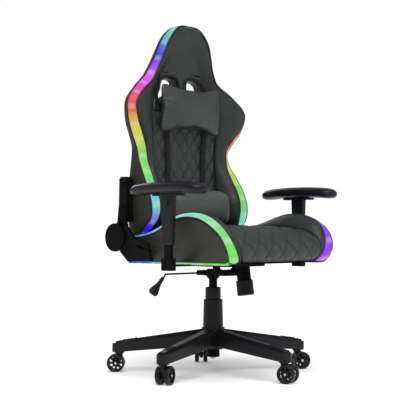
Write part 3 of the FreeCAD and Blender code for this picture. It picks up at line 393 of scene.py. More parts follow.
def smooth(knots, values, where):
    """A smooth curve through values at knots."""
    knots, values, where = np.asarray(knots, float), np.asarray(values, float), np.asarray(where, float)
    slopes = np.gradient(values, knots, axis=0)
    i = np.clip(np.searchsorted(knots, where) - 1, 0, len(knots) - 2)
    width = knots[i + 1] - knots[i]
    t = np.clip((where - knots[i]) / width, 0, 1)
    if values.ndim > 1:
        width, t = width[:, None], t[:, None]
    return (
        values[i] * (2 * t ** 3 - 3 * t ** 2 + 1) + slopes[i] * width * (t ** 3 - 2 * t ** 2 + t)
        + values[i + 1] * (3 * t ** 2 - 2 * t ** 3) + slopes[i + 1] * width * (t ** 3 - t ** 2)
    )


def lengths(line):
    """Distance along a line of points, at each point."""
    return np.r_[0, np.cumsum(np.linalg.norm(np.diff(line, axis=0), axis=1))]


def even(path, count, endpoint=True):
    """A smooth line through a path's points, cut into even steps."""
    knots = lengths(path)
    return smooth(knots, path, np.linspace(0, knots[-1], count, endpoint=endpoint))


def together(lines, count):
    """Several lines of matching points, each smoothed and cut at the same count places."""
    mean = sum(lines) / len(lines)
    knots = lengths(mean)
    fine = smooth(knots, mean, np.linspace(0, knots[-1], 3000))
    at = np.interp(np.linspace(0, lengths(fine)[-1], count), lengths(fine), np.linspace(0, knots[-1], 3000))
    return [smooth(knots, line, at) for line in lines]


def normals(grid):
    across = np.gradient(grid, axis=1)
    down = np.gradient(grid, axis=0)
    cross = np.cross(across, down)
    return cross / np.maximum(np.linalg.norm(cross, axis=2, keepdims=True), 1e-12)


def waves(grid, scale, seed=0.0):
    """Smooth noise, about -1 to 1, at each point of a grid."""
    flat = grid.reshape(-1, 3) / scale
    values = [noise.noise(Vector((x + seed, y, z))) for x, y, z in flat]
    return np.array(values).reshape(grid.shape[:-1])


def new_object(name, points, faces, materials, slots=None, values=None):
    """A mesh piece. values holds a number or a vector for each point, by attribute name."""
    mesh = bpy.data.meshes.new(name)
    mesh.from_pydata([tuple(p) for p in points], [], faces)
    for material in materials:
        mesh.materials.append(material)
    if slots is not None:
        mesh.polygons.foreach_set("material_index", np.asarray(slots, np.int32))
    for key, rows in (values or {}).items():
        rows = np.asarray(rows, np.float32)
        kind, field = ("FLOAT", "value") if rows.ndim == 1 else ("FLOAT_VECTOR", "vector")
        mesh.attributes.new(key, kind, "POINT").data.foreach_set(field, rows.ravel())
    clean(mesh)
    piece = bpy.data.objects.new(name, mesh)
    bpy.context.scene.collection.objects.link(piece)
    return piece


def clean(mesh):
    """Joins points that coincide, drops empty faces, cuts faces of more than four corners into triangles and
    turns the faces outwards.
    """
    work = bmesh.new()
    work.from_mesh(mesh)
    bmesh.ops.remove_doubles(work, verts=work.verts, dist=2e-5)
    bmesh.ops.dissolve_degenerate(work, edges=work.edges, dist=1e-6)
    big = [face for face in work.faces if len(face.verts) > 4]
    bmesh.ops.triangulate(work, faces=big)
    bmesh.ops.recalc_face_normals(work, faces=work.faces)
    work.to_mesh(mesh)
    work.free()
    mesh.shade_smooth()


def loft(name, rings, materials, columns=None, values=None, closed=False):
    """A closed skin through rings of points. columns gives the material of each strip of faces."""
    rings = np.asarray(rings, float)
    rows, count = rings.shape[:2]
    faces, slots = [], []
    for i in range(rows if closed else rows - 1):
        ahead = (i + 1) % rows
        for j in range(count):
            k = (j + 1) % count
            faces.append((i * count + j, i * count + k, ahead * count + k, ahead * count + j))
            slots.append(0 if columns is None else columns[j])
    if not closed:
        faces += [tuple(range(count))[::-1], tuple((rows - 1) * count + j for j in range(count))]
        slots += [slots[0], slots[0]]
    flat = {key: v.reshape((rows * count,) + v.shape[2:]) for key, v in (values or {}).items()}
    return new_object(name, rings.reshape(-1, 3), faces, materials, slots, flat)


def ahead_of(path, closed):
    """The direction of a path at each of its points."""
    if closed:
        return np.roll(path, -1, axis=0) - np.roll(path, 1, axis=0)
    return np.gradient(path, axis=0)


def frames_along(path):
    """Two unit vectors across a path at each of its points, turning as little as possible."""
    ahead = ahead_of(path, False)
    ahead /= np.linalg.norm(ahead, axis=1, keepdims=True)
    side = np.cross(ahead[0], (0.3, 0.5, 0.8))
    sides = []
    for direction in ahead:
        side = side - direction * (side @ direction)
        side = side / np.linalg.norm(side)
        sides.append(side)
    sides = np.array(sides)
    return sides, np.cross(ahead, sides)


def piping(name, path, radius, material, corners=8):
    """A round sewn cord along a path."""
    turns = np.linspace(0, 2 * math.pi, corners, endpoint=False)
    rings = [p + radius * (np.outer(np.cos(turns), s) + np.outer(np.sin(turns), u))
             for p, s, u in zip(path, *frames_along(path))]
    return loft(name, rings, [material])


def band(name, path, across, thickness, material, closed=False):
    """A flat band of constant thickness. across is half its width, as a vector."""
    across = np.broadcast_to(np.asarray(across, float), path.shape)
    out = np.cross(across, ahead_of(path, closed))
    out *= thickness / 2 / np.linalg.norm(out, axis=1, keepdims=True)
    rings = []
    for p, a, o in zip(path, across, out):
        rings.append([p - a - 0.6 * o, p - a + 0.6 * o, p - 0.94 * a + o, p + 0.94 * a + o,
                      p + a + 0.6 * o, p + a - 0.6 * o, p + 0.94 * a - o, p - 0.94 * a - o])
    return loft(name, rings, [material], closed=closed)


def join(name, pieces):
    """Several pieces made into one, which keeps the first one's materials in order."""
    bpy.ops.object.select_all(action="DESELECT")
    for piece in pieces:
        piece.select_set(True)
    bpy.context.view_layer.objects.active = pieces[0]
    bpy.ops.object.join()
    pieces[0].name = name
    pieces[0].select_set(False)
    return pieces[0]


def settle(piece):
    """Applies a piece's modifiers to its mesh."""
    evaluated = piece.evaluated_get(bpy.context.evaluated_depsgraph_get())
    mesh = bpy.data.meshes.new_from_object(evaluated)
    piece.modifiers.clear()
    piece.data = mesh
    mesh.shade_smooth()


def cut_out(piece, tool):
    modifier = piece.modifiers.new("opening", "BOOLEAN")
    modifier.object = tool
    modifier.solver = "EXACT"
    modifier.operation = "DIFFERENCE"
    settle(piece)
    bpy.data.objects.remove(tool)


def points_of(piece):
    return np.array([v.co for v in piece.data.vertices])


def move_to(piece, points):
    piece.data.vertices.foreach_set("co", points.astype(np.float32).ravel())
    piece.data.update()


def inflate(piece, pressure, cap, frames=20):
    """Fills a closed skin with air, and keeps each point within cap of where it began."""
    start = points_of(piece)
    modifier = piece.modifiers.new("cloth", "CLOTH")
    settings = modifier.settings
    settings.quality = 6
    settings.mass = 0.3
    settings.tension_stiffness = settings.compression_stiffness = 18
    settings.shear_stiffness = 8
    settings.bending_stiffness = 0.6
    settings.use_pressure = True
    settings.uniform_pressure_force = pressure
    settings.effector_weights.gravity = 0
    modifier.point_cache.frame_end = frames
    scene = bpy.context.scene
    for step in range(1, frames + 1):
        scene.frame_set(step)
    settle(piece)
    scene.frame_set(1)
    moved = points_of(piece) - start
    far = np.linalg.norm(moved, axis=1, keepdims=True)
    moved *= np.minimum(1, cap / np.maximum(far, 1e-9))
    move_to(piece, start + moved)


def groove(distance, depth, width):
    """How far a seam pulls the skin in, at a distance from it."""
    return -depth * np.exp(-(distance / width) ** 2)


def quilt_lines(x, along, diamond):
    """Two coordinates that reach a whole number at each seam of a quilting of diamonds."""
    wide, tall = diamond
    return x / wide + along / tall, x / wide - along / tall


def quilt_height(a, b, puff):
    """Padding between two crossing families of seams, which lie where a or b is a whole number."""
    swell = np.abs(np.sin(math.pi * a)) * np.abs(np.sin(math.pi * b))
    return puff * swell ** 0.36


# -------- back

# Matching points from the crown to the foot of one side: the wing's front edge, the light's outer
# edge, and the rear edge of the side wall.
BACK_EDGE = [
    (0, 114, 1184), (46, 114, 1180), (92, 113, 1135), (112, 118, 1087), (131, 126, 1038), (157, 127, 993),
    (221, 107, 946), (262, 94, 898), (252, 98, 851), (221, 112, 807), (195, 122, 762), (191, 116, 712),
    (191, 94, 664), (196, 69, 616), (194, 53, 569), (196, 61, 520), (205, 80, 490), (207, 100, 476),
    (205, 125, 468),
]
BACK_LIGHT_EDGE = [
    (0, 137, 1182), (53, 137, 1178), (103, 136, 1140), (127, 141, 1093), (146, 149, 1048), (172, 150, 1009),
    (237, 130, 957), (283, 117, 903), (273, 121, 842), (242, 135, 794), (220, 141, 757), (218, 133, 720),
    (226, 102, 668), (231, 73, 618), (232, 55, 567), (231, 60, 520), (233, 80, 498), (232, 100, 478),
    (230, 124, 463),
]
BACK_REAR_EDGE = [
    (0, 152, 1181), (53, 151, 1177), (102, 150, 1139), (126, 155, 1092), (145, 163, 1047), (171, 163, 1008),
    (236, 143, 956), (282, 131, 902), (272, 140, 842), (243, 153, 795), (222, 163, 757), (221, 166, 720),
    (228, 166, 668), (232, 166, 618), (233, 167, 567), (232, 167, 520), (231, 166, 498), (229, 162, 478),
    (226, 156, 464),
]
# Height, half width and depth of the panel between the wings, and depth of the rear face behind it.
# A seam is its depth and width. Steps are the columns of faces across half the panel and one wing.
BACK_PANEL = mm([
    (460, 142, 138, 158), (486, 146, 136, 172), (560, 147, 138, 186), (687, 148, 140, 188),
    (754, 149, 141, 188), (808, 150, 139, 188), (886, 152, 135, 188), (946, 128, 148, 188),
    (1016, 95, 153, 182), (1060, 60, 143, 176), (1100, 26, 132, 170), (1150, 0, 123, 166),
    (1200, 0, 115, 160),
])
BACK_DIAMOND = (0.048, 0.067)
BACK_PUFF = 0.0056
BACK_STEPS = (60, 22)
WING_SWELL = 0.009
SIDE_SEAM = (0.0055, 0.0035)
TOP_SEAM = (0.004, 0.003)
EDGE_SEAM = (0.0035, 0.004)
QUILT_TOP = 0.884
BED_DEPTH = 0.0045
BACK_PIPING = 0.0021
SEAT_PIPING = 0.0018
REAR_FACE = 0.1885


def back_lines(count=330):
    return together([mm(BACK_EDGE), mm(BACK_LIGHT_EDGE), mm(BACK_REAR_EDGE)], count)


def panel_at(height):
    """Half width, depth and rear depth of the back on its centre line, at heights."""
    return smooth(BACK_PANEL[:, 0], BACK_PANEL[:, 1:], height).T


def back_depth(x, height, edge):
    """Depth of the back's front face before its padding: flat between the seams, rising to the wings."""
    panel, centre, _ = panel_at(height)
    panel, centre = np.maximum(panel, 0)[:, None], centre[:, None]
    reach = np.maximum(edge[:, :1] - panel, 1e-4)
    u = np.clip((np.abs(x) - panel) / reach, 0, 1)
    shape = np.interp(height, (0.9, 1.1), (1.0, 1.9))[:, None]
    rise = np.sin(math.pi / 2 * u) ** shape
    return centre + (edge[:, 1:2] - centre) * rise, u


def back_front(edge):
    """The front face as a grid, with its padding and seams, and the quilt coordinates of its points."""
    height = edge[:, 2]
    panel, _, _ = panel_at(height)
    seam = np.maximum(panel, 0.42 * edge[:, 0])
    inner = np.linspace(0, 1, BACK_STEPS[0] + 1)
    outer = np.linspace(0, 1, BACK_STEPS[1] + 1)[1:]
    half = np.concatenate([np.outer(seam, inner), seam[:, None] + np.outer(edge[:, 0] - seam, outer)], axis=1)
    x = np.concatenate([-half[:, :0:-1], half], axis=1)
    y, u = back_depth(x, height, edge)
    grid = np.stack([x, y, np.broadcast_to(height[:, None], x.shape)], axis=2)
    z = grid[:, :, 2]
    a, b = quilt_lines(x, z, BACK_DIAMOND)
    inside = np.clip((seam[:, None] - np.abs(x)) / 0.004, 0, 1) * np.clip((QUILT_TOP - z) / 0.004, 0, 1)
    inside = inside * (panel[:, None] > 0.13)
    amount = quilt_height(a, b, BACK_PUFF) * inside
    fade = np.clip((1.03 - z) / 0.09, 0, 1)
    amount += groove(np.abs(x) - seam[:, None], *SIDE_SEAM) * fade
    amount += groove(z - QUILT_TOP, *TOP_SEAM) * (np.abs(x) < seam[:, None])
    swell = np.sin(math.pi * np.clip(u, 0, 1)) ** 0.7
    amount += WING_SWELL * swell * np.clip((1.0 - z) / 0.1, 0, 1)
    amount += groove((1 - u) * np.maximum(edge[:, :1] - seam[:, None], 0), *EDGE_SEAM)
    amount += 0.0012 * waves(grid, 0.05) * (1 - inside) + 0.0005 * waves(grid, 0.016, 7.0)
    return padded(grid, amount, edge, (0, -1, 0)), np.stack([a, b, inside], axis=2)


def padded(grid, amount, edge, towards):
    """A grid pushed out by amount, except at its edge, to the side that towards points to."""
    amount = amount * np.clip((edge[:, :1] - np.abs(grid[:, :, 0])) / 0.003, 0, 1)
    out = normals(grid)
    out = out * np.sign((out @ np.array(towards, float)).mean())
    return grid + out * amount[:, :, None]


def strip_between(first, second, steps):
    """Columns from one edge line to another, without the edges themselves."""
    shares = np.linspace(0, 1, steps + 2)[1:-1]
    return first[:, None, :] + shares[None, :, None] * (second - first)[:, None, :]


def all_round(face, side, far):
    """Columns round a whole piece: a face, one side's parts, the far face and the side mirrored."""
    return np.concatenate([face, *side, far] + [(part * MIRROR)[:, ::-1] for part in reversed(side)], axis=1)


def back_shell(looks):
    """The upholstery of the back as one closed skin: front, bed of the light, side walls and rear."""
    edge, light, rear = back_lines()
    front, quilt = back_front(edge)
    bed = strip_between(edge, light, 3)
    middle = (edge + light)[:, None, :] / 2
    bed = bed + BED_DEPTH * unit(np.array((0, 0.16, 0.78)) - middle)
    wall = strip_between(light, rear, 5)
    bulge = np.sin(np.linspace(0, math.pi, 7)[1:-1])[None, :, None] * 0.0025
    wall = wall + bulge * unit(light - np.array((0, 0, 0.75)))[:, None, :] * np.array((1, 0, 0.6))
    _, _, spine = panel_at(edge[:, 2])
    t = np.linspace(1, -1, 53)
    x = np.outer(rear[:, 0], t)
    y = rear[:, 1:2] + (spine[:, None] - rear[:, 1:2]) * (1 - np.abs(t)[None, :] ** 3.2)
    y = np.minimum(y + groove((1 - np.abs(t))[None, :] * rear[:, :1] - 0.03, 0.004, 0.004), REAR_FACE)
    behind = np.stack([x, y, np.broadcast_to(rear[:, 2:3], x.shape)], axis=2)
    rings = all_round(front, [bed, light[:, None], wall], behind)
    columns = np.zeros(rings.shape[1], int)
    start = front.shape[1]
    columns[:start] = np.abs(np.arange(start) - sum(BACK_STEPS)) < BACK_STEPS[0]
    columns[start:] = 2
    values = np.zeros(rings.shape[:2] + (3,))
    values[:, :start] = quilt
    piece = loft("back_upholstery", rings, [looks["leather"], looks["quilt"], looks["side"]], columns,
                 {"quilt": values})
    return piece, edge, light


def unit(vectors):
    vectors = np.asarray(vectors, float)
    return vectors / np.maximum(np.linalg.norm(vectors, axis=-1, keepdims=True), 1e-12)


HOLE = mm([
    (22, 914), (19, 936), (20, 981), (24, 997), (36, 1005), (60, 1006), (82, 1003), (95, 994), (108, 963),
    (122, 934), (121, 917), (110, 907), (66, 904), (34, 905),
])
# The bezel's section, as growth from the rim: with lift from the front face, then with depth at the rear.
BEZEL_FRONT = [(0.0095, 0.0015), (0.0088, -0.0042), (0.0050, -0.0060), (0.0006, -0.0050), (-0.0014, 0.0)]
BEZEL_REAR = [(-0.0045, 0.1885), (0.0006, 0.1905), (0.0075, 0.1905), (0.0085, 0.1880), (0.0008, 0.1870)]


def hole_line(count=96, grow=0.0):
    """The rim of the +X strap opening, moved outwards by grow, in the plane of depth 0."""
    ring = np.concatenate([HOLE[-2:], HOLE, HOLE[:2]])
    ring = np.stack([ring[:, 0], 0 * ring[:, 0], ring[:, 1]], axis=1)
    at = lengths(ring)
    line = smooth(at, ring, np.linspace(at[2], at[-2], count, endpoint=False))
    ahead = ahead_of(line, True)
    away = unit(np.stack([ahead[:, 2], 0 * ahead[:, 0], -ahead[:, 0]], axis=1))
    middle = line.mean(axis=0)
    away *= np.sign(((line - middle) * away).sum(axis=1))[:, None]
    return line + grow * away


def front_depth_at(x, z):
    """Depth of the front face at single places, without its padding."""
    edge = back_lines(200)[0]
    order = np.argsort(edge[:, 2])
    own = np.stack([np.interp(z, edge[order, 2], edge[order, k]) for k in range(3)], axis=1)
    y, _ = back_depth(np.asarray(x)[:, None], np.asarray(z), own)
    return y[:, 0]


def strap_openings(shell, looks):
    """Cuts both strap openings through the back and lines each with a moulded bezel."""
    bezels = []
    for sign in SIDES.values():
        tool_rings = [hole_line(grow=0.002) * (sign, 1, 1) + (0, depth, 0) for depth in (0.02, 0.30)]
        cut_out(shell, loft(f"hole_tool{sign}", tool_rings, []))
        line = hole_line()
        rim = front_depth_at(line[:, 0], line[:, 2])
        rings = []
        section = [(grow, rim + lift) for grow, lift in BEZEL_FRONT] + BEZEL_REAR + [(0.0012, rim + 0.004)]
        for grow, depth in section:
            ring = hole_line(grow=grow)
            ring[:, 1] = depth
            rings.append(ring)
        rings = np.array(rings) * (sign, 1, 1)
        bezels.append(loft(f"bezel{sign}", np.swapaxes(rings, 0, 1), [looks["moulded_black"]], closed=True))
    return join("strap_bezels", bezels)


STRIP_BULGE = 0.0028
STRIP_EDGE = 0.0008
STRIP_THICKNESS = 0.0035


def light_strip(name, inner, outer, material, towards, tone=None, bulge=STRIP_BULGE):
    """A lit band between two edge lines, rounded outside. Its points store how far along it they are."""
    shares = np.linspace(0.05, 0.95, 9)
    grid = inner[:, None, :] + shares[None, :, None] * (outer - inner)[:, None, :]
    out = normals(grid)
    sign = np.sign((out * towards).sum(axis=2).mean(axis=1))[:, None, None]
    out = out * np.where(sign == 0, 1, sign)
    lens = 1 - (2 * shares - 1) ** 2
    thick = STRIP_EDGE + (STRIP_THICKNESS - STRIP_EDGE) * lens
    rise = np.outer(np.broadcast_to(bulge, len(grid)), lens)
    top = grid + out * rise[:, :, None]
    under = grid[:, ::-1] - out[:, ::-1] * thick[None, :, None]
    rings = np.concatenate([top, under], axis=1)
    run = lengths((inner + outer) / 2)
    run = run / run[-1]
    across = np.r_[2 * shares - 1, 1 - 2 * shares]
    values = {
        "run": np.repeat(run[:, None], len(across), axis=1),
        "tone": np.repeat((run if tone is None else tone)[:, None], len(across), axis=1),
        "across": np.repeat(across[None, :], len(run), axis=0),
    }
    return loft(name, rings, [material], values=values)


def build_back(looks):
    shell, edge, light = back_shell(looks)
    bezels = strap_openings(shell, looks)
    inner = np.concatenate([edge[::-1] * MIRROR, edge[1:]])
    outer = np.concatenate([light[::-1] * MIRROR, light[1:]])
    middle = np.array((0, 0.2, 0.78))
    outward = unit((inner + outer) / 2 - middle)[:, None, :] + np.array((0, -0.8, 0))
    tone = ((inner + outer)[:, 2] / 2 * 1000 - BACK_GLOW_LOW) / BACK_GLOW_RISE
    sunk = np.clip((outer[:, 0] + 0.04) / 0.06, 0, 1) * np.clip((outer[:, 2] - 0.93) / 0.07, 0, 1)
    bulge = STRIP_BULGE - 0.0045 * sunk
    strip = light_strip("back_light", inner, outer, looks["back_glow"], outward, tone, bulge)
    cords = join("back_piping", [piping(f"back_piping_{i}", line, BACK_PIPING, looks["piping"])
                                 for i, line in enumerate((inner, outer))])
    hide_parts("back_cushion")
    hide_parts("back_led_strip")
    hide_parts("back_bezels")
    for piece, slot in ((shell, "leather"), (strip, "led"), (bezels, "moulded_black"), (cords, "leather")):
        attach(piece, "back")


# -------- seat

# Matching points of the seat from the rear, over the crest and down the front: the panel's centre line
# (depth and height) with its half width, then the bolster's edge and the light's outer edge on one side.
SEAT_PANEL = mm([
    (156, 455, 182), (110, 463, 184), (60, 478, 187), (10, 489, 189), (-50, 492, 191), (-100, 491, 192),
    (-150, 488, 193), (-200, 483, 194), (-245, 475, 195), (-276, 462, 196), (-295, 445, 197),
    (-304, 420, 195), (-301, 398, 188), (-290, 384, 178), (-276, 377, 166),
])
SEAT_EDGE = [
    (257, 156, 461), (257, 105, 464), (256, 48, 473), (255, -10, 493), (254, -60, 518), (253, -105, 532),
    (252, -150, 536), (251, -195, 532), (249, -236, 518), (246, -266, 498), (236, -290, 468),
    (219, -303, 430), (208, -303, 410), (198, -298, 393), (184, -282, 378),
]
SEAT_LIGHT_EDGE = [
    (261, 156, 456), (262, 105, 458), (264, 48, 464), (268, -10, 479), (274, -60, 501), (279, -105, 516),
    (283, -150, 522), (286, -195, 519), (286, -230, 509), (281, -258, 492), (273, -286, 466),
    (263, -302, 432), (255, -304, 413), (248, -303, 398), (240, -296, 383),
]
SEAT_FLOOR_Y = [154, 115, 75, 35, -5, -45, -85, -125, -165, -200, -230, -255, -272, -284, -291]
SEAT_DIAMOND = (0.067, 0.076)
SEAT_PUFF = 0.0062
SEAT_STEPS = (72, 20)
SEAT_SIDE_SEAM = (0.006, 0.004)
SEAT_EDGE_SEAM = (0.003, 0.004)
BOLSTER_SWELL = 0.0075
SEAT_FLOOR = (0.241, 0.3765)


def seat_lines(count=250):
    panel = SEAT_PANEL
    centre = np.stack([0 * panel[:, 0], panel[:, 0], panel[:, 1]], axis=1)
    floor = np.array([(SEAT_FLOOR[0] - 0.0006 * i, y * 0.001, SEAT_FLOOR[1] + 0.003)
                      for i, y in enumerate(SEAT_FLOOR_Y)])
    width = np.stack([panel[:, 2]] * 3, axis=1)
    lines = [centre, mm(SEAT_EDGE), mm(SEAT_LIGHT_EDGE), floor, width]
    knots = lengths((lines[0] + lines[1]) / 2)
    at = np.linspace(0, knots[-1], count)
    return [smooth(knots, line, at) for line in lines]


def seat_top(centre, edge, width):
    """The seat's upper and front face as a grid, with its padding and seams, and its quilt coordinates."""
    seam = width[:, 0]
    inner = np.linspace(0, 1, SEAT_STEPS[0] + 1)
    outer = np.linspace(0, 1, SEAT_STEPS[1] + 1)[1:]
    half = np.concatenate([np.outer(seam, inner), seam[:, None] + np.outer(edge[:, 0] - seam, outer)], axis=1)
    share = np.concatenate([0 * inner, outer])
    rise = np.sin(math.pi / 2 * share) ** 1.15
    body = centre[:, None, :] + (edge - centre)[:, None, :] * rise[None, :, None]
    dish = 0.0015 * (1 - (np.concatenate([inner, 0 * outer + 1])) ** 2)
    grid = np.stack([half, body[:, :, 1], body[:, :, 2]], axis=2)
    grid = np.concatenate([(grid * (-1, 1, 1))[:, :0:-1], grid], axis=1)
    dish = np.r_[dish[:0:-1], dish]
    x = grid[:, :, 0]
    along = lengths(centre)
    low = np.interp(0.411, centre[::-1, 2][:60], along[::-1][:60])
    v = (along - low)[:, None] + 0 * x
    a, b = quilt_lines(x, v, SEAT_DIAMOND)
    inside = np.clip((seam[:, None] - np.abs(x)) / 0.005, 0, 1)
    low_fade = np.clip((centre[:, 2:] - 0.381) / 0.02, 0, 1)
    amount = quilt_height(a, b, SEAT_PUFF) * inside * low_fade + dish[None, :]
    amount += groove(np.abs(x) - seam[:, None], *SEAT_SIDE_SEAM)
    u = np.clip((np.abs(x) - seam[:, None]) / np.maximum(edge[:, :1] - seam[:, None], 1e-4), 0, 1)
    room = np.clip((edge[:, :1] - seam[:, None]) / 0.06, 0, 1)
    amount += BOLSTER_SWELL * np.sin(math.pi * u) ** 0.7 * room
    amount += groove((1 - u) * (edge[:, :1] - seam[:, None]), *SEAT_EDGE_SEAM)
    amount += 0.0012 * waves(grid, 0.05, 3.0) * (1 - inside) + 0.0006 * waves(grid, 0.018, 11.0)
    return padded(grid, amount, edge, (0, -0.3, 1)), np.stack([a, b, inside], axis=2)


def build_seat(looks):
    centre, edge, light, floor, width = seat_lines()
    top, quilt = seat_top(centre, edge, width)
    bed = strip_between(edge, light, 3)
    bed = bed - BED_DEPTH * unit((edge + light) / 2 - np.array((0, 0, 0.40)))[:, None, :]
    wall = strip_between(light, floor, 14)
    swell = np.sin(np.linspace(0, math.pi, 16)[1:-1])[None, :, None]
    drop = np.clip((light - floor)[:, 2] / 0.1, 0, 1)[:, None, None]
    wall = wall + swell * drop * np.array((0.006, 0, 0))
    t = np.linspace(1, -1, 25)
    low = floor.copy()
    low[:, 2] = SEAT_FLOOR[1]
    low[:, 0] -= 0.003
    x = np.outer(low[:, 0], t)
    under = np.stack([x, 0 * x + low[:, 1:2], 0 * x + low[:, 2:3]], axis=2)
    side = [bed, light[:, None], wall, floor[:, None]]
    rings = all_round(top, side, under)
    columns = np.full(rings.shape[1], 2)
    start = top.shape[1]
    columns[:start] = np.abs(np.arange(start) - sum(SEAT_STEPS)) < SEAT_STEPS[0]
    begin = start + sum(part.shape[1] for part in side)
    columns[begin:begin + under.shape[1] - 1] = 3
    values = np.zeros(rings.shape[:2] + (3,))
    values[:, :start] = quilt
    seat = loft("seat_upholstery", rings, [looks["leather"], looks["quilt"], looks["side"], looks["lining"]],
                columns, {"quilt": values})
    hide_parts("seat_cushion")
    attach(seat, "seat")
    seat_lights(looks, edge, light, floor)


def rounded_through(lines, step):
    """Lines of matching points, with the corners between their parts rounded off."""
    coarse = [np.concatenate([line[:-1:step], line[-1:]]) for line in lines]
    knots = lengths(sum(coarse) / len(coarse))
    at = np.linspace(0, knots[-1], 420)
    return [smooth(knots, line, at) for line in coarse]


def seat_lights(looks, edge, light, floor):
    """A light over each bolster, then thin along the bottom edge, with piping on both sides of it."""
    back_along = floor[::-1][12:]
    foot = back_along + np.array((0.0035, 0, -0.001))
    heel = back_along + np.array((-0.003, 0, -0.0062))
    for side, sign in SIDES.items():
        flip = np.array((sign, 1, 1))
        inner, outer = rounded_through([np.concatenate([edge, heel]), np.concatenate([light, foot])], 6)
        outward = unit((inner + outer) / 2 - np.array((0, 0, 0.40)))[:, None, :] * np.array((1.0, 1.0, 0.4))
        strip = light_strip(f"seat_light_{side}", inner * flip, outer * flip, looks[f"seat_glow_{side}"],
                            outward * flip)
        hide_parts("seat_led_strips")
        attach(strip, "seat")
        cords = join(f"seat_piping_{side}", [piping(f"seat_cord_{side}{i}", line[:-16] * flip, SEAT_PIPING,
                                                    looks["piping"]) for i, line in enumerate((edge, light))])
        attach(cords, "seat")


# -------- pillows and straps

def pillow_skin(name, half, low, high, near, far, material, pinch, corner, fullness, columns=72, rows=44):
    """A closed pillow: two crowned faces that meet in a seam, its sides pulled in between the corners.

    pinch is how far its ends and its long sides are pulled in, fullness how square its faces are each way.
    """
    u = np.linspace(-1, 1, columns + 1)
    v = np.linspace(-1, 1, rows + 1)
    uu, vv = np.meshgrid(u, v)
    round_off = 1 - 0.085 * (uu * vv) ** 6
    x = half * uu * (1 - pinch[0] * (1 - vv ** 2)) * round_off
    z = (high - low) / 2 * vv * (1 - pinch[1] * (1 - uu ** 2)) * round_off
    crown = (1 - np.abs(uu) ** fullness[0]) ** 0.55 * (1 - np.abs(vv) ** fullness[1]) ** 0.55
    middle = (high + low) / 2
    seam_y = far - corner
    front = np.stack([x, seam_y - (seam_y - near) * crown, z + middle], axis=2)
    rear = np.stack([x, seam_y + corner * crown, z + middle], axis=2)
    points = np.concatenate([front.reshape(-1, 3), rear.reshape(-1, 3)])
    faces = []
    count = columns + 1
    size = len(front.reshape(-1, 3))
    for i in range(rows):
        for j in range(columns):
            k = i * count + j
            faces.append((k, k + 1, k + count + 1, k + count))
            faces.append((size + k, size + k + count, size + k + count + 1, size + k + 1))
    return new_object(name, points, faces, [material])


def press_in(piece, lines, front_of):
    """Creases the front of a piece along lines of (x, z) points, each with its depth and width."""
    points = points_of(piece)
    for start, end, depth, width in lines:
        start, end = np.array(start), np.array(end)
        along = end - start
        here = points[:, (0, 2)] - start
        share = np.clip(here @ along / (along @ along), 0, 1)
        off = np.linalg.norm(here - share[:, None] * along, axis=1)
        fade = np.clip(4 * (1 - share), 0, 1) * (points[:, 1] < front_of)
        points[:, 1] -= groove(off, depth, width) * fade
    move_to(piece, points)


def fit(piece, low, high):
    """Scales and moves a piece's mesh into a box."""
    points = points_of(piece)
    begin, end = points.min(axis=0), points.max(axis=0)
    move_to(piece, (points - begin) / (end - begin) * (np.array(high) - low) + low)


def head_pillow(looks):
    piece = pillow_skin("head_pillow_cover", 0.138, 0.822, 0.972, 0.084, 0.127, looks["pillow_leather"],
                        (0.035, 0.09), 0.012, (2.6, 1.35))
    inflate(piece, 6.0, 0.010)
    fit(piece, (-0.139, 0.071, 0.816), (0.139, 0.1285, 0.975))
    press_in(piece, HEAD_CREASES, 0.118)
    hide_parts("head_pillow")
    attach(piece, "head_cushion")


# Start, end, depth and width of each crease that runs in from the pillow's +-X ends.
HEAD_CREASES = [
    ((-0.136, 0.915), (-0.092, 0.905), 0.0045, 0.0035), ((-0.136, 0.927), (-0.100, 0.934), 0.0035, 0.0035),
    ((-0.134, 0.872), (-0.100, 0.886), 0.0020, 0.0050), ((0.136, 0.893), (0.112, 0.898), 0.0035, 0.0035),
]


def lumbar_pillow(looks):
    piece = pillow_skin("lumbar_pillow_cover", 0.146, 0.490, 0.620, 0.040, 0.126, looks["lumbar_leather"],
                        (0.02, 0.02), 0.014, (7, 3.2))
    inflate(piece, 4.0, 0.010)
    fit(piece, (-0.147, 0.024, 0.491), (0.147, 0.1275, 0.621))
    ends = [((sign * 0.124, 0.612), (sign * 0.130, 0.490), 0.0025, 0.0028) for sign in SIDES.values()]
    press_in(piece, ends, 0.118)
    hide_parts("lumbar_pillow")
    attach(piece, "lumbar_cushion")


WEBBING = 0.0016


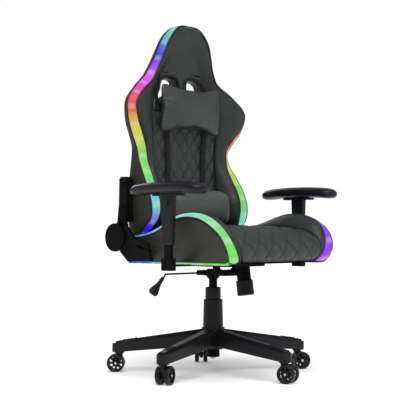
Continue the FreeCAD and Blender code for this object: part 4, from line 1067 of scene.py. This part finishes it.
def straps(looks):
    """Two webbing loops for the lumbar pillow, and the head pillow's elastic band."""
    loops = []
    for sign in SIDES.values():
        path = mm([
            (84, 131.0, 486), (83, 131.0, 560), (83, 130.5, 640), (84, 130.0, 700), (86, 129.5, 755),
            (89, 129.0, 806), (90, 129.0, 860), (90, 131.0, 893), (89, 140, 898), (89, 165, 899),
            (89, 186, 899), (88, 192, 893), (87, 192, 800), (87, 192, 680), (87, 192, 580), (87, 184, 520),
            (86, 168, 484), (85, 150, 478), (84, 136, 480),
        ])
        line = even(np.concatenate([path, path[:1]]), 240, False) * (sign, 1, 1)
        loops.append(band(f"lumbar_loop{sign}", line, (0.010, 0, 0), WEBBING, looks["webbing"], closed=True))
    piece = join("lumbar_strap_loops", loops)
    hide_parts("lumbar_straps")
    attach(piece, "back")
    half = mm([(131, 116, 921), (124, 127, 921), (110, 146, 921), (99, 170, 921), (91, 189, 921),
               (80, 192, 921), (40, 192, 921), (0, 192, 921)])
    line = even(np.concatenate([half * MIRROR, half[::-1][1:]]), 160)
    elastic = band("head_elastic", line, (0, 0, 0.0125), WEBBING, looks["webbing"])
    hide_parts("head_strap")
    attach(elastic, "head_cushion")


# -------- armrests

PAD_HEIGHT = 0.6145
PAD_HALF_WIDTH = 0.041


def arm_pads(looks):
    """Long pads with drooping round ends, moulded in one piece of integral foam."""
    for side in SIDES:
        low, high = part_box(f"arm_pad_{side}")
        middle = (low + high) / 2
        half = (high.y - low.y) / 2
        v = np.sin(np.linspace(-math.pi / 2, math.pi / 2, 73))
        turns = np.linspace(0, 2 * math.pi, 48, endpoint=False)
        rings = []
        for share in v:
            reach = max(1 - abs(share) ** 6.0, 0.0) ** (1 / 2.2)
            wide = PAD_HALF_WIDTH * reach
            droop = 0.0095 * abs(share) ** 2.0
            thick = (0.0175 + 0.001 * abs(share)) * max(1 - abs(share) ** 11, 0.0) ** 0.5
            cos, sin = np.cos(turns), np.sin(turns)
            seated = np.where(sin < 0, thick + 0.003 * max(0.0, 1 - (share / 0.5) ** 2), thick)
            ring_x = middle.x + wide * np.sign(cos) * np.abs(cos) ** 0.72
            ring_z = PAD_HEIGHT - droop + seated * np.sign(sin) * np.abs(sin) ** 0.86
            rings.append(np.stack([ring_x, 0 * ring_x + middle.y + half * share, ring_z], axis=1))
        pad = loft(f"arm_pad_skin_{side}", rings, [looks["arm_foam"]])
        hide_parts(f"arm_pad_{side}")
        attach(pad, f"arm_{side}")


# -------- carried-over CAD nodes

def paint_frame(looks):
    """Gives each shown CAD node the finish of its material slot."""
    for part in frame["record"]["subparts"]:
        mesh = frame["nodes"][part["node"]].data
        slot = "cover_black" if part["node"].startswith("recline") else part["material_slot"]
        finish = looks.get(slot, looks["moulded_black"])
        mesh.materials.clear()
        mesh.materials.append(finish)


camera()
studio()
looks = finishes()
paint_frame(looks)
build_back(looks)
build_seat(looks)
head_pillow(looks)
lumbar_pillow(looks)
straps(looks)
arm_pads(looks)
